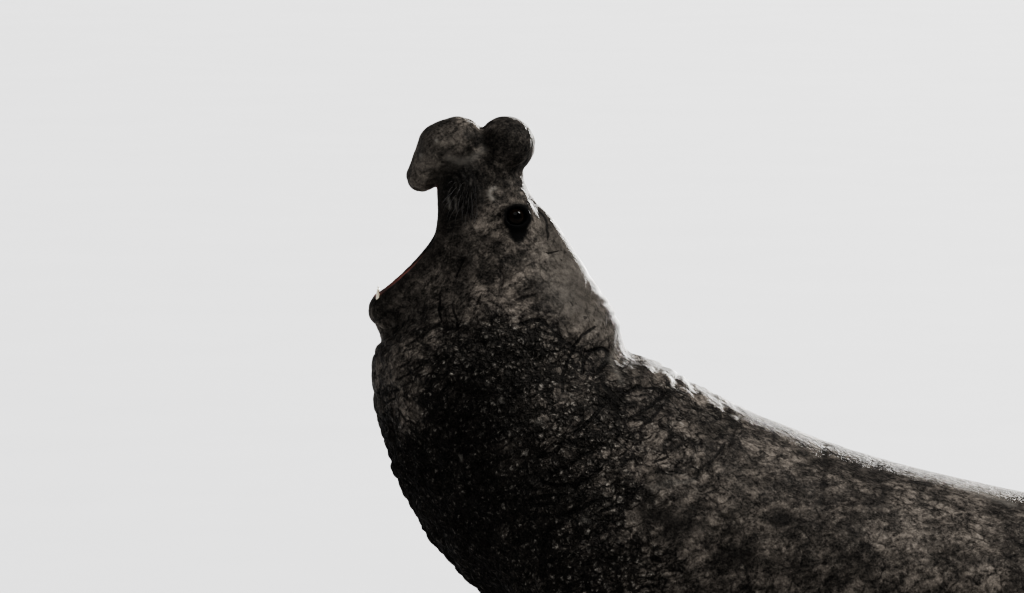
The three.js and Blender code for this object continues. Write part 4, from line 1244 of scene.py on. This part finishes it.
def ring_faces(rows, columns, first=0):
    """Quads of a grid whose columns close into a ring."""
    i, j = np.meshgrid(np.arange(rows - 1), np.arange(columns), indexing="ij")
    a, b = i * columns + j, i * columns + (j + 1) % columns
    return np.stack([a, b, b + columns, a + columns], axis=-1).reshape(-1, 4) + first


def mirrored(p, faces):
    """The same piece on the other side, with its faces turned to point out again."""
    return p * (1, -1, 1), faces[:, ::-1]


def both_sides(p, faces):
    """Points and faces of a piece together with its twin on the other side."""
    q, turned = mirrored(p, faces)
    return in_frame(np.vstack([p, q])), np.vstack([faces, turned + len(p)])


POLE_OPENING = 0.02  # radians left open at each end of the ball's axis, far less than the pupil
IRIS_SPREAD = 3.0  # how fast the value that colours the iris rises from the pupil


def ball(centre, radius, axis, rows=40, columns=56):
    """Sphere round an axis: circles of radius sin(t) at cos(t) along it, and how far round each lies."""
    t = np.linspace(POLE_OPENING, math.pi - POLE_OPENING, rows)[:, None]
    a = np.linspace(0, 2 * math.pi, columns, endpoint=False)[None, :]
    e1 = unit(np.cross(axis, (0, 0, 1)))
    e2 = np.cross(axis, e1)
    p = (np.sin(t) * np.cos(a))[..., None] * e1 + (np.sin(t) * np.sin(a))[..., None] * e2
    p = (p + np.cos(t)[..., None] * np.asarray(axis)) * radius + centre
    faces = ring_faces(rows, columns)[:, ::-1]
    front = np.repeat(np.linspace(0, 1, rows), columns) * IRIS_SPREAD
    return p.reshape(-1, 3), faces, np.clip(front, 0, 1)


for side in ("right", "left"):
    p, faces, front = ball(EYE_CENTRE, EYE_RADIUS - EYE_GAP, EYE_OUT)
    if side == "left":
        p, faces = mirrored(p, faces)
    new_piece("eye_ball_" + side, in_frame(p), faces, EYE, ["eye_" + side], "eye", from_pupil=front)


def horn(at, aim, bend, length, radius, rows=14, columns=12, flat=1.0):
    """Curved cones, many at once: circles of a radius times (1 - s)^0.7 along a line bent by s squared."""
    at, aim, bend = (np.atleast_2d(np.asarray(v, float)) for v in (at, aim, bend))
    length, radius = (np.broadcast_to(np.asarray(v, float), len(at)) for v in (length, radius))
    s = np.linspace(0, 1, rows)
    a = np.linspace(0, 2 * math.pi, columns, endpoint=False)
    aim = aim / np.linalg.norm(aim, axis=1)[:, None]
    e1 = np.cross(aim, bend)
    e1 = e1 / np.linalg.norm(e1, axis=1)[:, None]
    e2 = np.cross(aim, e1)
    line = at[:, None] + aim[:, None] * (length[:, None] * s)[..., None]
    line = line + bend[:, None] * (s**2)[None, :, None]
    size = radius[:, None] * (1 - s) ** 0.7
    circle = np.cos(a)[None, None, :, None] * e1[:, None, None]
    circle = circle + flat * np.sin(a)[None, None, :, None] * e2[:, None, None]
    p = line[:, :, None] + circle * size[..., None, None]
    each = rows * columns
    faces = np.concatenate([ring_faces(rows, columns, n * each) for n in range(len(at))])
    share = np.tile(np.repeat(s, columns), len(at))
    return p.reshape(-1, 3), faces, share


# Teeth of one side: root, direction, bend, length and radius at the root.
TEETH = [
    ((-368, 40, 1140), (-0.26, 0.06, 0.96), (10, 0, 3), 80, 15),  # lower canine
    ((-112, 46, 1494), (-1, 0.02, -0.3), (2, 0, -12), 70, 15),  # upper canine
    ((-352, 16, 1166), (-0.5, 0, 0.8), (2, 1, 0), 26, 6),  # lower front tooth
    ((-128, 14, 1520), (-1, 0, -0.2), (1, 1, 1), 26, 6),  # upper front tooth
    ((-310, 62, 1176), (-0.45, 0, 0.85), (1, 1, 0), 28, 6.5),  # lower cheek teeth
    ((-282, 66, 1200), (-0.45, 0, 0.85), (1, 1, 0), 28, 6.5),
    ((-252, 68, 1226), (-0.45, 0, 0.85), (1, 1, 0), 28, 6.5),
    ((-224, 70, 1254), (-0.45, 0, 0.85), (1, 1, 0), 28, 6.5),
    ((-112, 60, 1452), (-1, 0, 0), (1, 1, 0), 26, 6.5),  # upper cheek teeth
    ((-106, 62, 1424), (-1, 0, 0), (1, 1, 0), 26, 6.5),
    ((-104, 64, 1396), (-1, 0, 0.1), (1, 1, 0), 26, 6.5),
    ((-112, 64, 1368), (-1, 0, 0.2), (1, 1, 0), 26, 6.5),
]
p, faces, share = horn(*zip(*TEETH))
new_piece("teeth", *both_sides(p, faces), TOOTH, (), "hide", from_root=np.tile(share, 2))

TONGUE_ROOT = (-124, 1254)
TONGUE_TIP = (-296, 1172)
TONGUE_SAG = 16
TONGUE_HALF_WIDTH = 58
TONGUE_HALF_DEPTH = 26
TONGUE_GROOVE = 7
TONGUE_GRID = (30, 32)


def tongue_surface(rows, columns):
    """Ovals carried from the throat to the tip, sunk along the middle of the top, with a rounded end."""
    s = np.linspace(0, 1, rows)[:, None]
    a = np.linspace(0, 2 * math.pi, columns, endpoint=False)[None, :]
    x, z = (root + (tip - root) * s for root, tip in zip(TONGUE_ROOT, TONGUE_TIP))
    z = z - TONGUE_SAG * np.sin(math.pi * s)
    size = np.sqrt(np.clip(1 - ((s - 0.45) / 0.56) ** 4, 0.0004, 1))
    wide, thick = TONGUE_HALF_WIDTH * (1 - 0.25 * s) * size, TONGUE_HALF_DEPTH * size
    up = np.sin(a) * thick - TONGUE_GROOVE * size * np.exp(-((np.cos(a) * 3.2) ** 2)) * (np.sin(a) > 0)
    return np.stack([x + 0.5 * up + 0 * a, np.cos(a) * wide, z + 0.85 * up], axis=-1).reshape(-1, 3)


p, faces = in_frame(tongue_surface(*TONGUE_GRID)), ring_faces(*TONGUE_GRID)[:, ::-1]
new_piece("tongue_flesh", p, faces, TONGUE_FLESH, ["tongue"], "tongue")

CLAW_LENGTH = 46
CLAW_RADIUS = 8
CLAW_FLATNESS = 0.7
CLAW_BEND = 12
CLAW_DROOP = 0.06
CLAW_SET_BACK = 26  # from the digit's end to the claw's root
CLAW_RAISED = 5

e1, e2, e3 = plate_axes(FORE["along"], FORE["across"])
digit = -1 + (2 * np.arange(DIGITS) + 1) / DIGITS
tip = np.array(FORE["root"]) + e1 * (FORE["length"] * reach_of(digit, 1, **FORE))[:, None]
tip = tip + e2 * (digit * FORE["widths"][1] / 2)[:, None] + e3 * CLAW_RAISED - e1 * CLAW_SET_BACK
bend = [-CLAW_BEND * e3] * DIGITS
p, faces, _ = horn(tip, e1 - CLAW_DROOP * e3, bend, CLAW_LENGTH, CLAW_RADIUS, flat=CLAW_FLATNESS)
new_piece("claws", *both_sides(p, faces), CLAW_HORN, (), "flipper")

# Whiskers in rows on the pads, and a few over the eyes
WHISKER_SEED = 7
WHISKER_ROWS = 5
WHISKER_COLUMNS = 7
FIRST_WHISKER = (-150, 1560)  # x and z
WHISKER_SPACING = (13, 20)  # of the columns and of the rows
ROW_SLANT = 3  # how much lower each next whisker of a row is
ROOT_JITTER = 3
LEAN_JITTER = 0.12
BEND_JITTER = 8
HEAD_SIDE = 400.0  # further to one side than any flesh of the head
BROW_WHISKERS = ([60, 72, 80, 66], [1512, 1506, 1496, 1520])
WHISKER_LENGTHS = (35, 80)
BROW_SHARE = 0.45  # of a pad whisker's length
WHISKER_RADIUS = 1.1
WHISKER_LEAN = (-0.25, 0, -0.55)
WHISKER_BEND = (8, 0, -18)
WHISKER_ROOT = 5  # how far a whisker starts below the skin
WHISKER_GRID = (9, 5)

rng = np.random.default_rng(WHISKER_SEED)
row, column = np.indices((WHISKER_ROWS, WHISKER_COLUMNS)).reshape(2, -1)
root_x = FIRST_WHISKER[0] + column * WHISKER_SPACING[0] + rng.uniform(-ROOT_JITTER, ROOT_JITTER, row.size)
root_z = FIRST_WHISKER[1] - row * WHISKER_SPACING[1] - column * ROW_SLANT
root_z = root_z + rng.uniform(-ROOT_JITTER, ROOT_JITTER, row.size)
root_x, root_z = np.append(root_x, BROW_WHISKERS[0]), np.append(root_z, BROW_WHISKERS[1])
roots = on_side(skin_field, root_x, root_z, HEAD_SIDE, halvings=30)
outward = slope_of(skin_field, roots)[1]
outward /= np.linalg.norm(outward, axis=1)[:, None]
lean = outward + np.array(WHISKER_LEAN) + rng.uniform(-LEAN_JITTER, LEAN_JITTER, outward.shape)
length = rng.uniform(*WHISKER_LENGTHS, len(roots)) * np.where(np.arange(len(roots)) < row.size, 1, BROW_SHARE)
bend = rng.uniform(-1, 1, outward.shape) * BEND_JITTER + WHISKER_BEND
p, faces, _ = horn(roots - outward * WHISKER_ROOT, lean, bend, length, WHISKER_RADIUS, *WHISKER_GRID)
new_piece("whiskers", *both_sides(p, faces), WHISKER_HORN, (), "dark_hide")

# Camera, floor and light

LENS = 283.5
FARTHEST_SEEN = 500
VIEW_CENTRE = (-1.658, 0, 1.189)
VIEW_DISTANCE = 25
VIEW_TILT = math.radians(5)

camera_data = bpy.data.cameras.new("camera")
camera_data.lens = LENS
camera_data.clip_end = FARTHEST_SEEN
camera = bpy.data.objects.new("camera", camera_data)
bpy.context.scene.collection.objects.link(camera)
bpy.context.scene.camera = camera
back_off, rise = VIEW_DISTANCE * math.cos(VIEW_TILT), VIEW_DISTANCE * math.sin(VIEW_TILT)
camera.location = (VIEW_CENTRE[0], -back_off, VIEW_CENTRE[2] + rise)
camera.rotation_euler = (math.pi / 2 - VIEW_TILT, 0, 0)

FLOOR_REACH = 300
STUDIO_TONE = (0.86, 0.9, 1, 1)
STUDIO_STRENGTH = 0.28

f = Finish("pale_floor", Roughness=0.9)
f.feed(Base_Color=f.mix(f.noise(900, 3), *FLOOR_TONES))
corners = [(FLOOR_REACH * i, FLOOR_REACH * j, 0) for i, j in ((-1, -1), (1, -1), (1, 1), (-1, 1))]
new_piece("floor", corners, [(0, 1, 2, 3)], f.material)

world = bpy.data.worlds.new("studio")
world.use_nodes = True
background = world.node_tree.nodes["Background"].inputs
background["Color"].default_value = STUDIO_TONE
background["Strength"].default_value = STUDIO_STRENGTH
bpy.context.scene.world = world


def soft_sun(name, power, spread, azimuth, elevation, colour=(1, 1, 1)):
    """A broad soft light from a direction in degrees: azimuth 0 is the viewer's side and 90 the right."""
    data = bpy.data.lights.new(name, "SUN")
    data.energy, data.angle, data.color = power, math.radians(spread), colour
    lamp = bpy.data.objects.new(name, data)
    lamp.rotation_euler = (math.radians(90 - elevation), 0, math.radians(azimuth))
    bpy.context.scene.collection.objects.link(lamp)


soft_sun("rim", 9.0, 8, 163, 6, (1, 0.98, 0.95))
soft_sun("skim", 3.2, 18, 84, 52)
soft_sun("fill", 1.1, 40, 5, 55)

bpy.context.scene.view_settings.look = "AgX - High Contrast"
